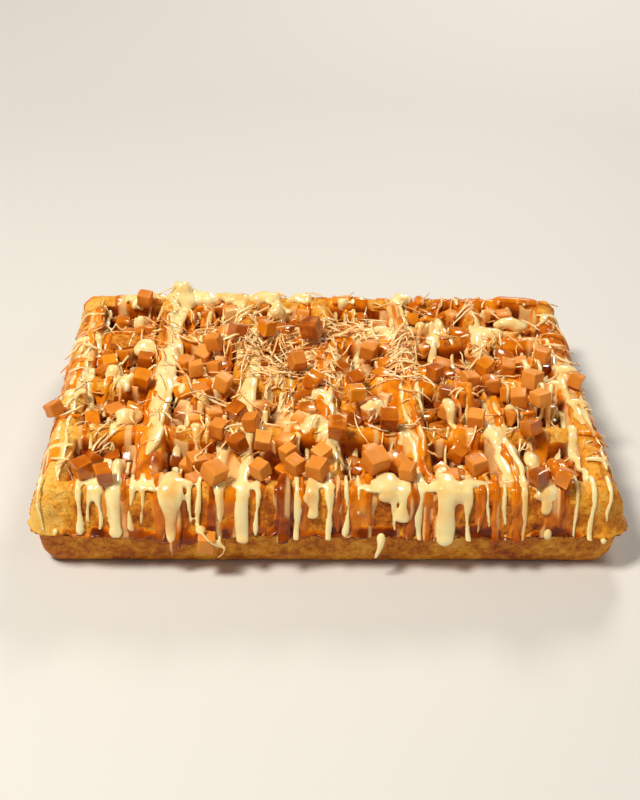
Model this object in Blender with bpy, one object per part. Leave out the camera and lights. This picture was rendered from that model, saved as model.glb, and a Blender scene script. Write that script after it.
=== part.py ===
import math

import bmesh
import bpy
import numpy as np
from mathutils import Matrix, Vector
from mathutils.bvhtree import BVHTree

MM = 0.001

# Overall form. The waffle lies on its underside, front at -Y.
WIDTH = 190.0
DEPTH = 130.0
CROWN = 29.8
PARTING = 14.0
PITCH = 28.4
COLUMNS = 6
ROWS = 4
POCKET_DEPTH = 11.6
UNDER_DEPTH = 10.0
FLASH_THICK = 0.8
SERRATION = 1.2

# Rib section, distance from the centre line against depth below the crown.
RIB_U = [1.4, 3.7, 6.0]
RIB_DROP = [0.0, 1.9, POCKET_DEPTH]
UNDER_U = [2.8, 6.2]
UNDER_DROP = [0.0, UNDER_DEPTH]

# Outer wall section, share of the way from the rim's crest to the edge against height.
WALL_Q = [0.0, 0.27, 0.50, 0.80, 1.0]
WALL_Z = [CROWN, CROWN - 0.9, CROWN - 4.0, PARTING + 1.1, PARTING + FLASH_THICK / 2]
UNDER_Q = [0.0, 0.30, 0.55, 0.66]
UNDER_Z = [0.0, 0.8, 5.0, PARTING + 2.0]

# Sauce lying in the pockets, front row first, left to right.
POOLS = [
    [4.0, 3.0, 4.5, 2.5, 3.5, 3.0],
    [3.0, 4.5, 5.0, 4.0, 3.5, 2.5],
    [2.5, 4.5, 4.0, 3.0, 4.0, 2.5],
    [2.0, 4.0, 3.5, 2.5, 2.5, 2.0],
]

# Sauce runs down the outer walls: place along the rim, width, height of the lower end.
FRONT_RUNS = [
    (-77.0, 1.8, 14.5), (-66.0, 3.2, 13.0), (-48.5, 6.0, 11.5), (-27.0, 6.4, 11.8),
    (-13.2, 3.0, 13.4), (4.5, 2.4, 13.2), (16.5, 3.4, 14.6), (22.8, 3.0, 19.0),
    (29.5, 3.0, 15.5), (35.6, 6.2, 11.6), (50.4, 3.2, 12.9), (59.0, 2.4, 13.0),
    (67.0, 3.6, 21.0), (78.5, 2.0, 13.4),
]
BACK_RUNS = [(-62.0, 3.0, 15.0), (-35.0, 5.0, 12.5), (38.0, 4.4, 13.0)]
RIGHT_RUNS = [(-30.0, 3.6, 15.0), (31.0, 3.4, 14.0)]
LEFT_RUNS = [(-38.0, 2.6, 16.0), (-8.0, 3.4, 14.5)]

# Thick streams from front to back over ribs and pockets: place at the front and back, width.
STREAMS = [(-57.6, -52.0, 4.6), (29.0, 24.0, 4.2), (84.0, 80.0, 3.0)]

# Dollops of thick sauce on the crowns: centre, and half sizes.
DOLLOPS = [
    (-53.0, 58.0, 29.6, 6.6, 4.4, 4.6), (-38.0, 57.0, 29.4, 9.0, 3.6, 2.2),
    (31.0, 57.5, 29.4, 5.0, 3.6, 2.4), (-9.0, 29.0, 29.3, 5.5, 3.8, 2.2),
]

# Coconut shreds, drawn round these places: centre, spread and how many.
SHRED_SEED = 11
SHRED_WIDE = 1.3
SHRED_PATCHES = [
    (-12.0, 22.0, 13.0, 11.0, 11), (8.0, 40.0, 9.0, 9.0, 6), (30.0, 33.0, 8.0, 7.0, 5),
    (-32.0, 44.0, 12.0, 8.0, 5), (-60.0, 20.0, 14.0, 22.0, 5), (62.0, 20.0, 16.0, 22.0, 6),
    (-20.0, -30.0, 20.0, 12.0, 4), (40.0, -25.0, 22.0, 14.0, 4),
]

# Fudge cubes, dropped at these places until they rest: x, y and edge.
FUDGE_SEED = 5
FUDGE_GAP = 0.3
FUDGE_BEVEL = 0.4
FUDGE = [
    (-4.7, 25.5, 7.0), (13.9, -50.8, 7.0), (71.0, -4.3, 6.2), (19.6, -28.1, 6.0), (-35.9, -56.5, 6.0),
    (2.8, -32.8, 6.0), (-4.5, -54.3, 5.8), (45.4, -50.9, 5.8), (-43.0, 19.0, 5.6), (64.5, -15.0, 5.6),
    (-35.4, -32.8, 5.6), (14.5, -21.4, 5.6), (-39.2, 16.8, 5.4), (-35.2, -5.0, 5.4), (-42.4, -7.7, 5.4),
    (-29.9, -24.3, 5.4), (-63.5, 12.8, 5.4), (-62.7, -4.1, 5.4), (-20.6, 27.5, 5.4), (-9.9, 5.7, 5.4),
    (16.3, 20.2, 5.4), (-4.6, -4.8, 5.4), (77.5, 13.5, 5.4), (49.2, -5.0, 5.4), (48.4, -13.8, 5.4),
    (39.6, -12.5, 5.4), (48.4, -26.7, 5.4), (-21.2, -40.1, 5.4), (-3.0, -46.0, 5.4), (-76.3, -53.9, 5.4),
    (41.6, -37.7, 5.4), (65.6, -31.8, 5.4), (-66.8, 51.6, 5.2), (-44.8, 2.2, 5.2), (9.4, -17.3, 5.2),
    (55.5, 3.8, 5.2), (63.8, 4.7, 5.2), (56.0, -7.5, 5.2), (70.8, -18.3, 5.2), (37.9, 1.6, 5.2),
    (-25.2, -30.2, 5.2), (-13.1, -44.1, 5.2), (-11.2, -51.7, 5.2), (-40.0, -40.4, 5.2), (13.2, -43.2, 5.2),
    (-69.3, -57.8, 5.2), (63.6, -57.6, 5.2), (71.4, -57.8, 5.2), (-31.3, 25.8, 5.2), (-38.6, 5.2, 5.0),
    (-90.1, -20.2, 5.0), (9.9, -2.9, 5.0), (69.3, 9.8, 5.0), (40.2, -11.9, 5.0), (-29.1, -41.6, 5.0),
    (-22.0, -55.1, 5.0), (21.8, -48.0, 5.0), (86.5, -2.3, 5.0), (23.5, -55.2, 4.8),
]

SIDES = 5
rng = np.random.default_rng(SHRED_SEED)


def half_sizes():
    """Return the half distances between the rim crests, along X and Y."""
    return COLUMNS * PITCH / 2, ROWS * PITCH / 2


def rib_lines(count):
    """Return the centre lines of the ribs across a given number of pockets."""
    return [(k - count / 2) * PITCH for k in range(count + 1)]


def nearest(values, count):
    """Return the distance of each value from the nearest rib centre line."""
    k = np.clip(np.round(values / PITCH + count / 2), 0, count)
    return np.abs(values - (k - count / 2) * PITCH)


def outward(x, y):
    """Return how far a place lies from the rim crest toward the edge, as a share."""
    hx, hy = half_sizes()
    ox = np.maximum(np.abs(x) - hx, 0) / (WIDTH / 2 - hx)
    oy = np.maximum(np.abs(y) - hy, 0) / (DEPTH / 2 - hy)
    return np.hypot(ox, oy)


def upper_height(x, y):
    """Return the height of the upper face in millimetres: ribs, pools and outer wall."""
    x, y = np.asarray(x, float), np.asarray(y, float)
    drop = np.minimum(
        np.interp(nearest(x, COLUMNS), RIB_U, RIB_DROP),
        np.interp(nearest(y, ROWS), RIB_U, RIB_DROP),
    )
    i = np.clip(np.floor(x / PITCH + COLUMNS / 2), 0, COLUMNS - 1).astype(int)
    j = np.clip(np.floor(y / PITCH + ROWS / 2), 0, ROWS - 1).astype(int)
    drop = np.minimum(drop, POCKET_DEPTH - np.array(POOLS)[j, i])
    uneven = 0.25 * np.sin(x * 0.11 + 1.0) * np.cos(y * 0.13) + 0.15 * np.sin(x * 0.37 + y * 0.29)
    wall = np.interp(outward(x, y), WALL_Q, WALL_Z)
    fade = np.clip(1 - outward(x, y), 0, 1)
    return np.where(outward(x, y) > 0, wall + uneven * fade, CROWN + uneven - drop)


def under_height(x, y):
    """Return the height of the underside in millimetres."""
    drop = np.minimum(
        np.interp(nearest(x, COLUMNS), UNDER_U, UNDER_DROP),
        np.interp(nearest(y, ROWS), UNDER_U, UNDER_DROP),
    )
    wall = np.interp(outward(x, y), UNDER_Q, UNDER_Z)
    return np.where(outward(x, y) > 0, wall, drop)


def grid_lines(count, half, edge, rib, wall):
    """Return the lines of a face along one axis: rib offsets inside, wall shares outside."""
    lines = set()
    for centre in rib_lines(count):
        for u in rib:
            lines.update([round(centre + u, 4), round(centre - u, 4)])
    inside = [v for v in lines if abs(v) <= half + 1e-6]
    outside = [half + q * (edge - half) for q in wall[1:]]
    return np.array(sorted(inside + outside + [-v for v in outside]))


def rounded(x, y, share):
    """Round the four corners: the square past both rim crests becomes a quarter disc."""
    hx, hy = half_sizes()
    ex, ey = (WIDTH / 2 - hx) * share, (DEPTH / 2 - hy) * share
    a = np.clip((np.abs(x) - hx) / ex, 0, 1)
    b = np.clip((np.abs(y) - hy) / ey, 0, 1)
    nx = np.where(a > 0, hx + ex * a * np.sqrt(1 - b * b / 2), np.abs(x))
    ny = np.where(b > 0, hy + ey * b * np.sqrt(1 - a * a / 2), np.abs(y))
    return np.sign(x) * nx, np.sign(y) * ny


def new_object(name, verts, faces):
    """Make a mesh object from vertices in millimetres."""
    mesh = bpy.data.meshes.new(name)
    mesh.from_pydata([tuple(c * MM for c in v) for v in verts], [], faces)
    obj = bpy.data.objects.new(name, mesh)
    bpy.context.scene.collection.objects.link(obj)
    return obj


def face_grid(xs, ys, height, share):
    """Return the vertices and faces of a height field, and its border loop in order."""
    gx, gy = np.meshgrid(xs, ys)
    px, py = rounded(gx, gy, share)
    verts = np.stack([px, py, height(px, py)], -1).reshape(-1, 3)
    nx, ny = len(xs), len(ys)
    faces = []
    for j in range(ny - 1):
        for i in range(nx - 1):
            a = j * nx + i
            faces.append((a, a + 1, a + nx + 1, a + nx))
    loop = list(range(nx)) + [j * nx + nx - 1 for j in range(1, ny)]
    loop += [(ny - 1) * nx + i for i in range(nx - 2, -1, -1)]
    loop += [j * nx for j in range(ny - 2, 0, -1)]
    return verts.tolist(), faces, loop


def serrated(verts, faces, loop):
    """Cut long border edges short and push the border in and out like a torn flash."""
    new_loop = []
    extra = {}
    for k, a in enumerate(loop):
        b = loop[(k + 1) % len(loop)]
        va, vb = Vector(verts[a]), Vector(verts[b])
        parts = max(1, round((vb - va).length / 3.2))
        added = []
        for n in range(1, parts):
            verts.append(list(va.lerp(vb, n / parts)))
            added.append(len(verts) - 1)
        extra[(a, b)] = added
        new_loop += [a] + added
    for k, face in enumerate(faces):
        out = []
        for n, a in enumerate(face):
            b = face[(n + 1) % len(face)]
            out += [a] + extra.get((a, b), [])
        faces[k] = tuple(out)
    hx, hy = half_sizes()
    for a in new_loop:
        v = verts[a]
        away = Vector((np.sign(v[0]) * max(abs(v[0]) - hx, 0), np.sign(v[1]) * max(abs(v[1]) - hy, 0)))
        away.normalize()
        pull = SERRATION * rng.random()
        v[0] -= away.x * pull
        v[1] -= away.y * pull
    return new_loop


def upper_half():
    """Build the upper half: ribs, pockets, outer wall and the thin flash."""
    hx, hy = half_sizes()
    xs = grid_lines(COLUMNS, hx, WIDTH / 2, RIB_U, WALL_Q)
    ys = grid_lines(ROWS, hy, DEPTH / 2, RIB_U, WALL_Q)
    verts, faces, loop = face_grid(xs, ys, upper_height, 1.0)
    loop = serrated(verts, faces, loop)
    base = len(verts)
    for a in loop:
        verts.append([verts[a][0], verts[a][1], PARTING - FLASH_THICK / 2])
    n = len(loop)
    for k in range(n):
        a, b = loop[k], loop[(k + 1) % n]
        faces.append((a, base + k, base + (k + 1) % n, b))
    faces.append(tuple(base + k for k in range(n - 1, -1, -1)))
    return new_object("waffle", verts, faces)


def lower_half():
    """Build the lower half, set in a little below the flash."""
    hx, hy = half_sizes()
    ex = hx + (WIDTH / 2 - hx) * UNDER_Q[-1]
    ey = hy + (DEPTH / 2 - hy) * UNDER_Q[-1]
    wall = [q / UNDER_Q[-1] for q in UNDER_Q]
    xs = grid_lines(COLUMNS, hx, ex, UNDER_U, wall)
    ys = grid_lines(ROWS, hy, ey, UNDER_U, wall)
    verts, faces, loop = face_grid(xs, ys, under_height, UNDER_Q[-1])
    faces = [tuple(reversed(f)) for f in faces]
    faces.append(tuple(loop))
    return new_object("lower_half", verts, faces)


def tube(name, path, wide, thick, side):
    """Sweep an oval along a path of points; wide and thick are full sizes, wide lying along side."""
    path = np.asarray(path, float)
    along = np.gradient(path, axis=0)
    along /= np.linalg.norm(along, axis=1)[:, None]
    verts, faces = [], []
    for k, p in enumerate(path):
        up = np.cross(side, along[k])
        for s in range(SIDES):
            turn = 2 * math.pi * (s + 0.5) / SIDES
            verts.append(p + side * math.cos(turn) * wide[k] / 2 + up * math.sin(turn) * thick[k] / 2)
    for k in range(len(path) - 1):
        for s in range(SIDES):
            a, b = k * SIDES + s, k * SIDES + (s + 1) % SIDES
            faces.append((a, b, b + SIDES, a + SIDES))
    faces.append(tuple(range(SIDES - 1, -1, -1)))
    faces.append(tuple((len(path) - 1) * SIDES + s for s in range(SIDES)))
    return new_object(name, verts, faces)


def wall_run(name, place, wide, end, axis, sign):
    """Build a run of sauce from the rim's crest down the outer wall, thicker at its lower end."""
    half = half_sizes()[1 - axis]
    edge = (DEPTH if axis == 0 else WIDTH) / 2
    shares = [-0.4, 0.12, 0.4, 0.78]
    points = []
    for q in shares:
        v = half + q * (edge - half)
        z = np.interp(q, WALL_Q, WALL_Z) if q > 0 else CROWN - np.interp(-q * (edge - half), RIB_U, RIB_DROP)
        points.append((v, z + 0.15 * wide))
    points = [p for p in points if p[1] > end + 0.6]
    last = points[-1]
    if end < PARTING + 1.5:
        points.append((edge - 0.5, PARTING + 1.6))
        points.append((edge - 0.1, max(end + 1.4, PARTING - 1.0)))
        points.append((edge - 0.4, end))
    else:
        share = np.interp(-end, [-z for z in WALL_Z], WALL_Q)
        points.append((half + share * (edge - half) + 0.25, end))
    path = []
    for v, z in points:
        p = [0, 0, z]
        p[axis] = place
        p[1 - axis] = sign * v
        path.append(p)
    n = len(path)
    grow = [0.75 + 0.25 * math.cos(math.pi * k / (n - 1)) for k in range(n)]
    grow[-2] = 0.95
    grow[-1] = 0.45
    thick = [min(2.4, 0.55 * wide + 0.5) * g for g in grow]
    return tube(name, path, [wide * g for g in grow], thick, np.eye(3)[axis])


def stream(name, front, back, wide):
    """Build a stream of sauce lying over ribs and pockets from the front rim to the back."""
    hy = half_sizes()[1]
    ys = []
    for centre in rib_lines(ROWS):
        ys += [centre - 5.2, centre - 2.8, centre + 2.8, centre + 5.2]
    ys = [y for y in ys if abs(y) < hy + 3]
    path = []
    for k, y in enumerate(ys):
        x = front + (back - front) * (y + hy) / (2 * hy) + 0.8 * math.sin(k * 1.7 + front)
        path.append((x, y, float(upper_height(x, y)) + 0.35))
    n = len(path)
    grow = [0.8 + 0.2 * math.sin(k * 2.3 + back) for k in range(n)]
    grow[0] = grow[-1] = 0.5
    return tube(name, path, [wide * g for g in grow], [2.4 * g for g in grow], np.eye(3)[0])


def shred(name, x, y, turn, length, bend, wide):
    """Build a coconut shred: a narrow bent strip laid on the highest place under it."""
    t = np.linspace(-0.5, 0.5, 3)
    px = x + t * length * math.cos(turn) - (t * t - 0.1) * bend * math.sin(turn)
    py = y + t * length * math.sin(turn) + (t * t - 0.1) * bend * math.cos(turn)
    fine = np.linspace(-0.5, 0.5, 15)
    top = upper_height(np.interp(fine, t, px), np.interp(fine, t, py)).max()
    lean = rng.uniform(-0.12, 0.12) * length
    z = top + 0.05 + lean * t
    verts, faces = [], []
    side = np.array((-math.sin(turn), math.cos(turn), 0.0))
    size = [0.5, 1.0, 0.45]
    for k in range(3):
        p = np.array((px[k], py[k], z[k]))
        for s, u in ((-1, -1), (1, -1), (1, 1), (-1, 1)):
            verts.append(p + side * s * wide * size[k] / 2 + np.array((0, 0, u * wide * size[k] * 0.34)))
    for k in range(2):
        for s in range(4):
            a, b = k * 4 + s, k * 4 + (s + 1) % 4
            faces.append((a, a + 4, b + 4, b))
    faces += [(0, 1, 2, 3), (11, 10, 9, 8)]
    return new_object(name, verts, faces)


def dollop(name, x, y, z, a, b, c):
    """Build a low ball of thick sauce from its half sizes."""
    mesh = bpy.data.meshes.new(name)
    bm = bmesh.new()
    bmesh.ops.create_uvsphere(bm, u_segments=8, v_segments=5, radius=1.0)
    place = Matrix.Translation((x * MM, y * MM, z * MM)) @ Matrix.Diagonal((a * MM, b * MM, c * MM, 1))
    bmesh.ops.transform(bm, matrix=place, verts=bm.verts)
    bm.to_mesh(mesh)
    bm.free()
    obj = bpy.data.objects.new(name, mesh)
    bpy.context.scene.collection.objects.link(obj)
    return obj


def face_out(obj):
    """Turn every face of a closed mesh outward."""
    bm = bmesh.new()
    bm.from_mesh(obj.data)
    bmesh.ops.recalc_face_normals(bm, faces=bm.faces)
    if bm.calc_volume(signed=True) < 0:
        bmesh.ops.reverse_faces(bm, faces=bm.faces)
    bm.to_mesh(obj.data)
    bm.free()


def unite(base, pieces):
    """Unite the base with all the pieces in one Boolean and remove the pieces."""
    group = bpy.data.collections.new("united")
    for piece in pieces:
        face_out(piece)
        group.objects.link(piece)
    mod = base.modifiers.new("union", "BOOLEAN")
    mod.operation = "UNION"
    mod.operand_type = "COLLECTION"
    mod.collection = group
    mod.solver = "MANIFOLD"
    graph = bpy.context.evaluated_depsgraph_get()
    united = bpy.data.meshes.new_from_object(base.evaluated_get(graph))
    base.modifiers.clear()
    base.data = united
    base.data.name = base.name
    for piece in pieces:
        bpy.data.objects.remove(piece)
    bpy.data.collections.remove(group)


def largest_body(obj):
    """Keep only the largest connected body, so sealed hollows fill and scraps go."""
    bm = bmesh.new()
    bm.from_mesh(obj.data)
    bmesh.ops.triangulate(bm, faces=bm.faces)
    same = {}
    for face in bm.faces:
        same.setdefault(frozenset(face.verts), []).append(face)
    doubled = [f for faces in same.values() if len(faces) == 2 for f in faces]
    bmesh.ops.delete(bm, geom=doubled, context="FACES")
    seen, bodies = set(), []
    for start in bm.faces:
        if start in seen:
            continue
        body, todo = [], [start]
        seen.add(start)
        while todo:
            face = todo.pop()
            body.append(face)
            for edge in face.edges:
                for near in edge.link_faces:
                    if near not in seen:
                        seen.add(near)
                        todo.append(near)
        bodies.append(body)
    bodies.sort(key=len)
    for body in bodies[:-1]:
        bmesh.ops.delete(bm, geom=body, context="FACES")
    bm.to_mesh(obj.data)
    bm.free()
    return len(bodies)


def tree_of(obj):
    """Return a search tree of an object's triangles."""
    bm = bmesh.new()
    bm.from_mesh(obj.data)
    tree = BVHTree.FromBMesh(bm)
    bm.free()
    return tree


def cube_mesh(edge, bevel):
    """Return a bmesh of a cube with bevelled edges, about the origin."""
    bm = bmesh.new()
    bmesh.ops.create_cube(bm, size=edge * MM)
    if bevel:
        bmesh.ops.bevel(bm, geom=bm.edges[:], offset=bevel * MM, segments=1, affect="EDGES")
    return bm


def touches(place, edge, bodies):
    """Tell whether a slightly larger cube at a place cuts any of the bodies near it."""
    bm = cube_mesh(edge + 2 * FUDGE_GAP, 0)
    bmesh.ops.transform(bm, matrix=place, verts=bm.verts)
    mine = BVHTree.FromBMesh(bm)
    bm.free()
    at = place.translation
    near = [tree for tree, centre in bodies if centre is None or (centre - at).length < 0.016]
    return any(mine.overlap(tree) for tree in near)


def rest_cube(name, x, y, edge, turn, bodies):
    """Bring a cube down until its slightly larger copy would touch, and leave it there."""
    z = CROWN + 12.0
    for step in (2.0, 0.5, 0.1):
        while z > 0 and not touches(Matrix.Translation((x * MM, y * MM, (z - step) * MM)) @ turn, edge, bodies):
            z -= step
    place = Matrix.Translation((x * MM, y * MM, z * MM)) @ turn
    bm = cube_mesh(edge, FUDGE_BEVEL)
    bmesh.ops.transform(bm, matrix=place, verts=bm.verts)
    mesh = bpy.data.meshes.new(name)
    bm.to_mesh(mesh)
    bodies.append((BVHTree.FromBMesh(bm), place.translation))
    bm.free()
    obj = bpy.data.objects.new(name, mesh)
    bpy.context.scene.collection.objects.link(obj)
    return obj


def material(name, colour, rough):
    """Make a plain Principled material."""
    mat = bpy.data.materials.new(name)
    mat.use_nodes = True
    shader = mat.node_tree.nodes["Principled BSDF"]
    shader.inputs["Base Color"].default_value = (*colour, 1)
    shader.inputs["Roughness"].default_value = rough
    return mat


def build():
    """Build the waffle with its runs, streams and shreds, then rest the fudge on it."""
    for obj in list(bpy.data.objects):
        bpy.data.objects.remove(obj)
    waffle = upper_half()
    face_out(waffle)
    pieces = [lower_half()]
    for axis, sign, runs in ((0, -1, FRONT_RUNS), (0, 1, BACK_RUNS), (1, 1, RIGHT_RUNS), (1, -1, LEFT_RUNS)):
        for k, (place, wide, end) in enumerate(runs):
            pieces.append(wall_run(f"run_{axis}{sign}_{k}", place, wide, end, axis, sign))
    for k, (front, back, wide) in enumerate(STREAMS):
        pieces.append(stream(f"stream_{k}", front, back, wide))
    for k, sizes in enumerate(DOLLOPS):
        pieces.append(dollop(f"dollop_{k}", *sizes))
    for cx, cy, sx, sy, count in SHRED_PATCHES:
        for k in range(count):
            x, y = rng.normal(cx, sx * 0.75), rng.normal(cy, sy * 0.75)
            turn, length, bend = rng.uniform(0, math.pi), rng.uniform(9, 18), rng.uniform(-5, 5)
            pieces.append(shred(f"shred_{len(pieces)}", x, y, turn, length, bend, SHRED_WIDE * rng.uniform(0.8, 1.2)))
    unite(waffle, pieces)
    found = largest_body(waffle)
    print("waffle bodies", found, "triangles", len(waffle.data.polygons))
    waffle.data.materials.clear()
    waffle.data.materials.append(material("crust", (0.62, 0.30, 0.07), 0.6))
    bodies = [(tree_of(waffle), None)]
    draw = np.random.default_rng(FUDGE_SEED)
    for k, (x, y, edge) in enumerate(FUDGE):
        turn = Matrix.Rotation(draw.uniform(0, math.pi / 2), 4, "Z")
        turn = turn @ Matrix.Rotation(draw.normal(0, 0.2), 4, "X") @ Matrix.Rotation(draw.normal(0, 0.2), 4, "Y")
        cube = rest_cube(f"fudge_{k + 1:02d}", x, y, edge, turn, bodies)
        cube.data.materials.append(material(f"fudge_{k + 1:02d}", (0.60, 0.24, 0.07), 0.75))


build()
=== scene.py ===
import bpy
import math
import numpy as np
from mathutils import Matrix


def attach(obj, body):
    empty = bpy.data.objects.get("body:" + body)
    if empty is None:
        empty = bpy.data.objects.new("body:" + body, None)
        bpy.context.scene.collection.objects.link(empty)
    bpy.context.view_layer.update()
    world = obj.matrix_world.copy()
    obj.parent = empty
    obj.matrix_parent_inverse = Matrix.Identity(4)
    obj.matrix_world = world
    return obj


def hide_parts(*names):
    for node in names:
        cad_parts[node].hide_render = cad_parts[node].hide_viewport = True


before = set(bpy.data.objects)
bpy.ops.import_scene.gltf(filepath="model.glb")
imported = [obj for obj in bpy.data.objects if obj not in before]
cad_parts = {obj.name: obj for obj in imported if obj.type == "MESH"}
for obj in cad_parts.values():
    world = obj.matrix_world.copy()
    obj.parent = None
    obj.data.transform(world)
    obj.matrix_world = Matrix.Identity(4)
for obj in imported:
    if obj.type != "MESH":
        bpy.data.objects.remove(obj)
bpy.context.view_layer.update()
rootBody = "root"
mm = 0.001

# the baked body, sizes in millimetres
waffle = {
    "width": 190.0, "depth": 130.0, "crown": 29.8, "pitch": 28.4, "columns": 6, "rows": 4, "pocketDepth": 11.6,
    "flashThick": 0.8, "teeth": 2.1, "crustRelief": 0.36, "sagPlace": -47.0, "sagWidth": 9.0, "sag": 2.6,
    # slow bulges of the outer wall: height, length and seed
    "bulges": ((0.55, 9.0, 61), (0.45, 3.4, 62), (0.3, 1.6, 63)),
    # mesh spacing on the ribs' walls and elsewhere, and steps down the outer wall
    "upperGrid": (0.5, 0.74, 30), "underGrid": (0.8, 1.7, 22), "underShare": 0.74,
    # the seam's edge: how far its lip and its hidden end turn in, the height of that end and of the seam's top
    "lipIn": 0.3, "tuckIn": 4.2, "tuckHeight": 13.9, "seamTop": 14.6,
    # ribs: distance from the centre line against drop; walls: share of the way out against height
    "ribU": [0, 1.4, 3.7, 6.0, 16], "ribDrop": [0, 0, 1.9, 11.6, 11.6],
    "underU": [0, 2.8, 6.2, 16], "underDrop": [0, 0, 10.0, 10.0],
    "wallQ": [0, 0.27, 0.5, 0.8, 0.9, 1.0], "wallZ": [29.8, 28.9, 25.8, 15.4, 14.6, 14.35],
    "underQ": [0, 0.3, 0.55, 0.66, 0.7, 1.0], "underZ": [0, 0.8, 5.0, 13.0, 13.6, 13.7],
}
halfX = waffle["columns"] * waffle["pitch"] / 2
halfY = waffle["rows"] * waffle["pitch"] / 2
wallX = waffle["width"] / 2 - halfX
wallY = waffle["depth"] / 2 - halfY

# height of the sauce lying in each pocket above its floor, front row first
poolDepth = np.array([
    [4.0, 3.0, 4.5, 2.5, 3.5, 3.0],
    [3.0, 4.5, 5.0, 4.0, 3.5, 2.5],
    [2.5, 4.5, 4.0, 3.0, 4.0, 2.5],
    [2.0, 4.0, 3.5, 2.5, 2.5, 2.0],
])


def latticeNoise(x, y, size, seed):
    # random numbers on a square lattice, blended by 3t^2 - 2t^3 between its points; -1 to 1
    table = np.random.default_rng(seed).uniform(-1, 1, (64, 64))
    fx, fy = np.asarray(x) / size, np.asarray(y) / size
    ix, iy = np.floor(fx).astype(int), np.floor(fy).astype(int)
    tx, ty = fx - ix, fy - iy
    tx, ty = tx * tx * (3 - 2 * tx), ty * ty * (3 - 2 * ty)
    low = table[iy % 64, ix % 64] * (1 - tx) + table[iy % 64, (ix + 1) % 64] * tx
    high = table[(iy + 1) % 64, ix % 64] * (1 - tx) + table[(iy + 1) % 64, (ix + 1) % 64] * tx
    return low * (1 - ty) + high * ty


def layeredNoise(x, y, size, seed, layers=3):
    # sum of lattice noises, each half as large and half as strong as the one before
    total = 0
    for k in range(layers):
        total = total + latticeNoise(x, y, size / 2 ** k, seed + 17 * k) / 2 ** k
    return total / 1.6


def easeStep(t, low, high):
    # 3t^2 - 2t^3 from 0 at low to 1 at high
    s = np.clip((t - low) / (high - low), 0, 1)
    return s * s * (3 - 2 * s)


def softTable(xs, ys, blur, span):
    # straight lines through the points, averaged over a sliding window of 2 * blur
    fine = np.linspace(0, span, 1201)
    window = max(1, int(blur / span * 1200))
    line = np.interp(np.concatenate([-fine[window:0:-1], fine, span + fine[1:window + 1]]), xs, ys)
    kernel = np.hanning(2 * window + 3)[1:-1]
    return fine, np.convolve(line, kernel / kernel.sum(), "valid")


ribTable = softTable(waffle["ribU"], waffle["ribDrop"], 1.1, 16)
underTable = softTable(waffle["underU"], waffle["underDrop"], 1.2, 16)
wallTable = softTable(waffle["wallQ"], waffle["wallZ"], 0.07, 1)
underWallTable = softTable(waffle["underQ"], waffle["underZ"], 0.05, 1)


def fromRib(values, count):
    # distance of each value from the nearest rib's centre line
    k = np.clip(np.round(values / waffle["pitch"] + count / 2), 0, count)
    return np.abs(values - (k - count / 2) * waffle["pitch"])


def outward(x, y):
    # 0 at the rim's crest, 1 at the edge, round the corners
    return np.hypot(np.maximum(np.abs(x) - halfX, 0) / wallX, np.maximum(np.abs(y) - halfY, 0) / wallY)


def unevenness(x, y):
    # the slow rise and fall of the ribs, in millimetres
    return 0.25 * np.sin(x * 0.11 + 1.0) * np.cos(y * 0.13) + 0.15 * np.sin(x * 0.37 + y * 0.29)


def pocketDepthAt(x, y):
    # how far the baked face lies below the crown: the shallower of the two rib sections
    return np.minimum(np.interp(fromRib(x, waffle["columns"]), *ribTable),
                      np.interp(fromRib(y, waffle["rows"]), *ribTable))


def bakedHeight(x, y):
    # height of the upper baked face
    q = outward(x, y)
    wall = np.interp(q, *wallTable) + unevenness(x, y) * np.clip(1 - q, 0, 1)
    return np.where(q > 0, wall, waffle["crown"] + unevenness(x, y) - pocketDepthAt(x, y))


def poolHeight(x, y):
    # level of the sauce in the pocket under a place
    i = np.clip(np.floor(x / waffle["pitch"] + waffle["columns"] / 2), 0, waffle["columns"] - 1).astype(int)
    j = np.clip(np.floor(y / waffle["pitch"] + waffle["rows"] / 2), 0, waffle["rows"] - 1).astype(int)
    return waffle["crown"] - waffle["pocketDepth"] + poolDepth[j, i]


def topHeight(x, y):
    # the higher of the baked face and the pool
    return np.where(outward(x, y) > 0, bakedHeight(x, y), np.maximum(bakedHeight(x, y), poolHeight(x, y)))


def roundCorners(x, y):
    # past both crests, the square corner is squeezed into a quarter disc: a' = a sqrt(1 - b^2/2)
    a = np.clip((np.abs(x) - halfX) / wallX, 0, 1)
    b = np.clip((np.abs(y) - halfY) / wallY, 0, 1)
    nx = np.where(a > 0, halfX + wallX * a * np.sqrt(1 - b * b / 2), np.abs(x))
    ny = np.where(b > 0, halfY + wallY * b * np.sqrt(1 - a * a / 2), np.abs(y))
    return np.sign(x) * nx, np.sign(y) * ny


def pocketCentre(i, j):
    # middle of the pocket in column i and row j
    return ((i + 0.5 - waffle["columns"] / 2) * waffle["pitch"], (j + 0.5 - waffle["rows"] / 2) * waffle["pitch"])


def gridLines(half, edge, count, fine, plain, wallSteps, share=1.0):
    # places along one axis, closer together on the walls of the ribs, then even steps down the outer wall
    x = np.linspace(0, half, 4000)
    u = fromRib(x, count)
    gap = np.where((u > 1.0) & (u < 6.8), fine, plain)
    run = np.concatenate([[0], np.cumsum((x[1:] - x[:-1]) / gap[1:])])
    inner = np.interp(np.linspace(0, run[-1], int(run[-1]) + 1), run, x)
    outer = half + (edge - half) * share * np.linspace(0, 1, wallSteps + 1)[1:]
    side = np.concatenate([inner[1:], outer])
    return np.concatenate([-side[::-1], [0], side])


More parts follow.
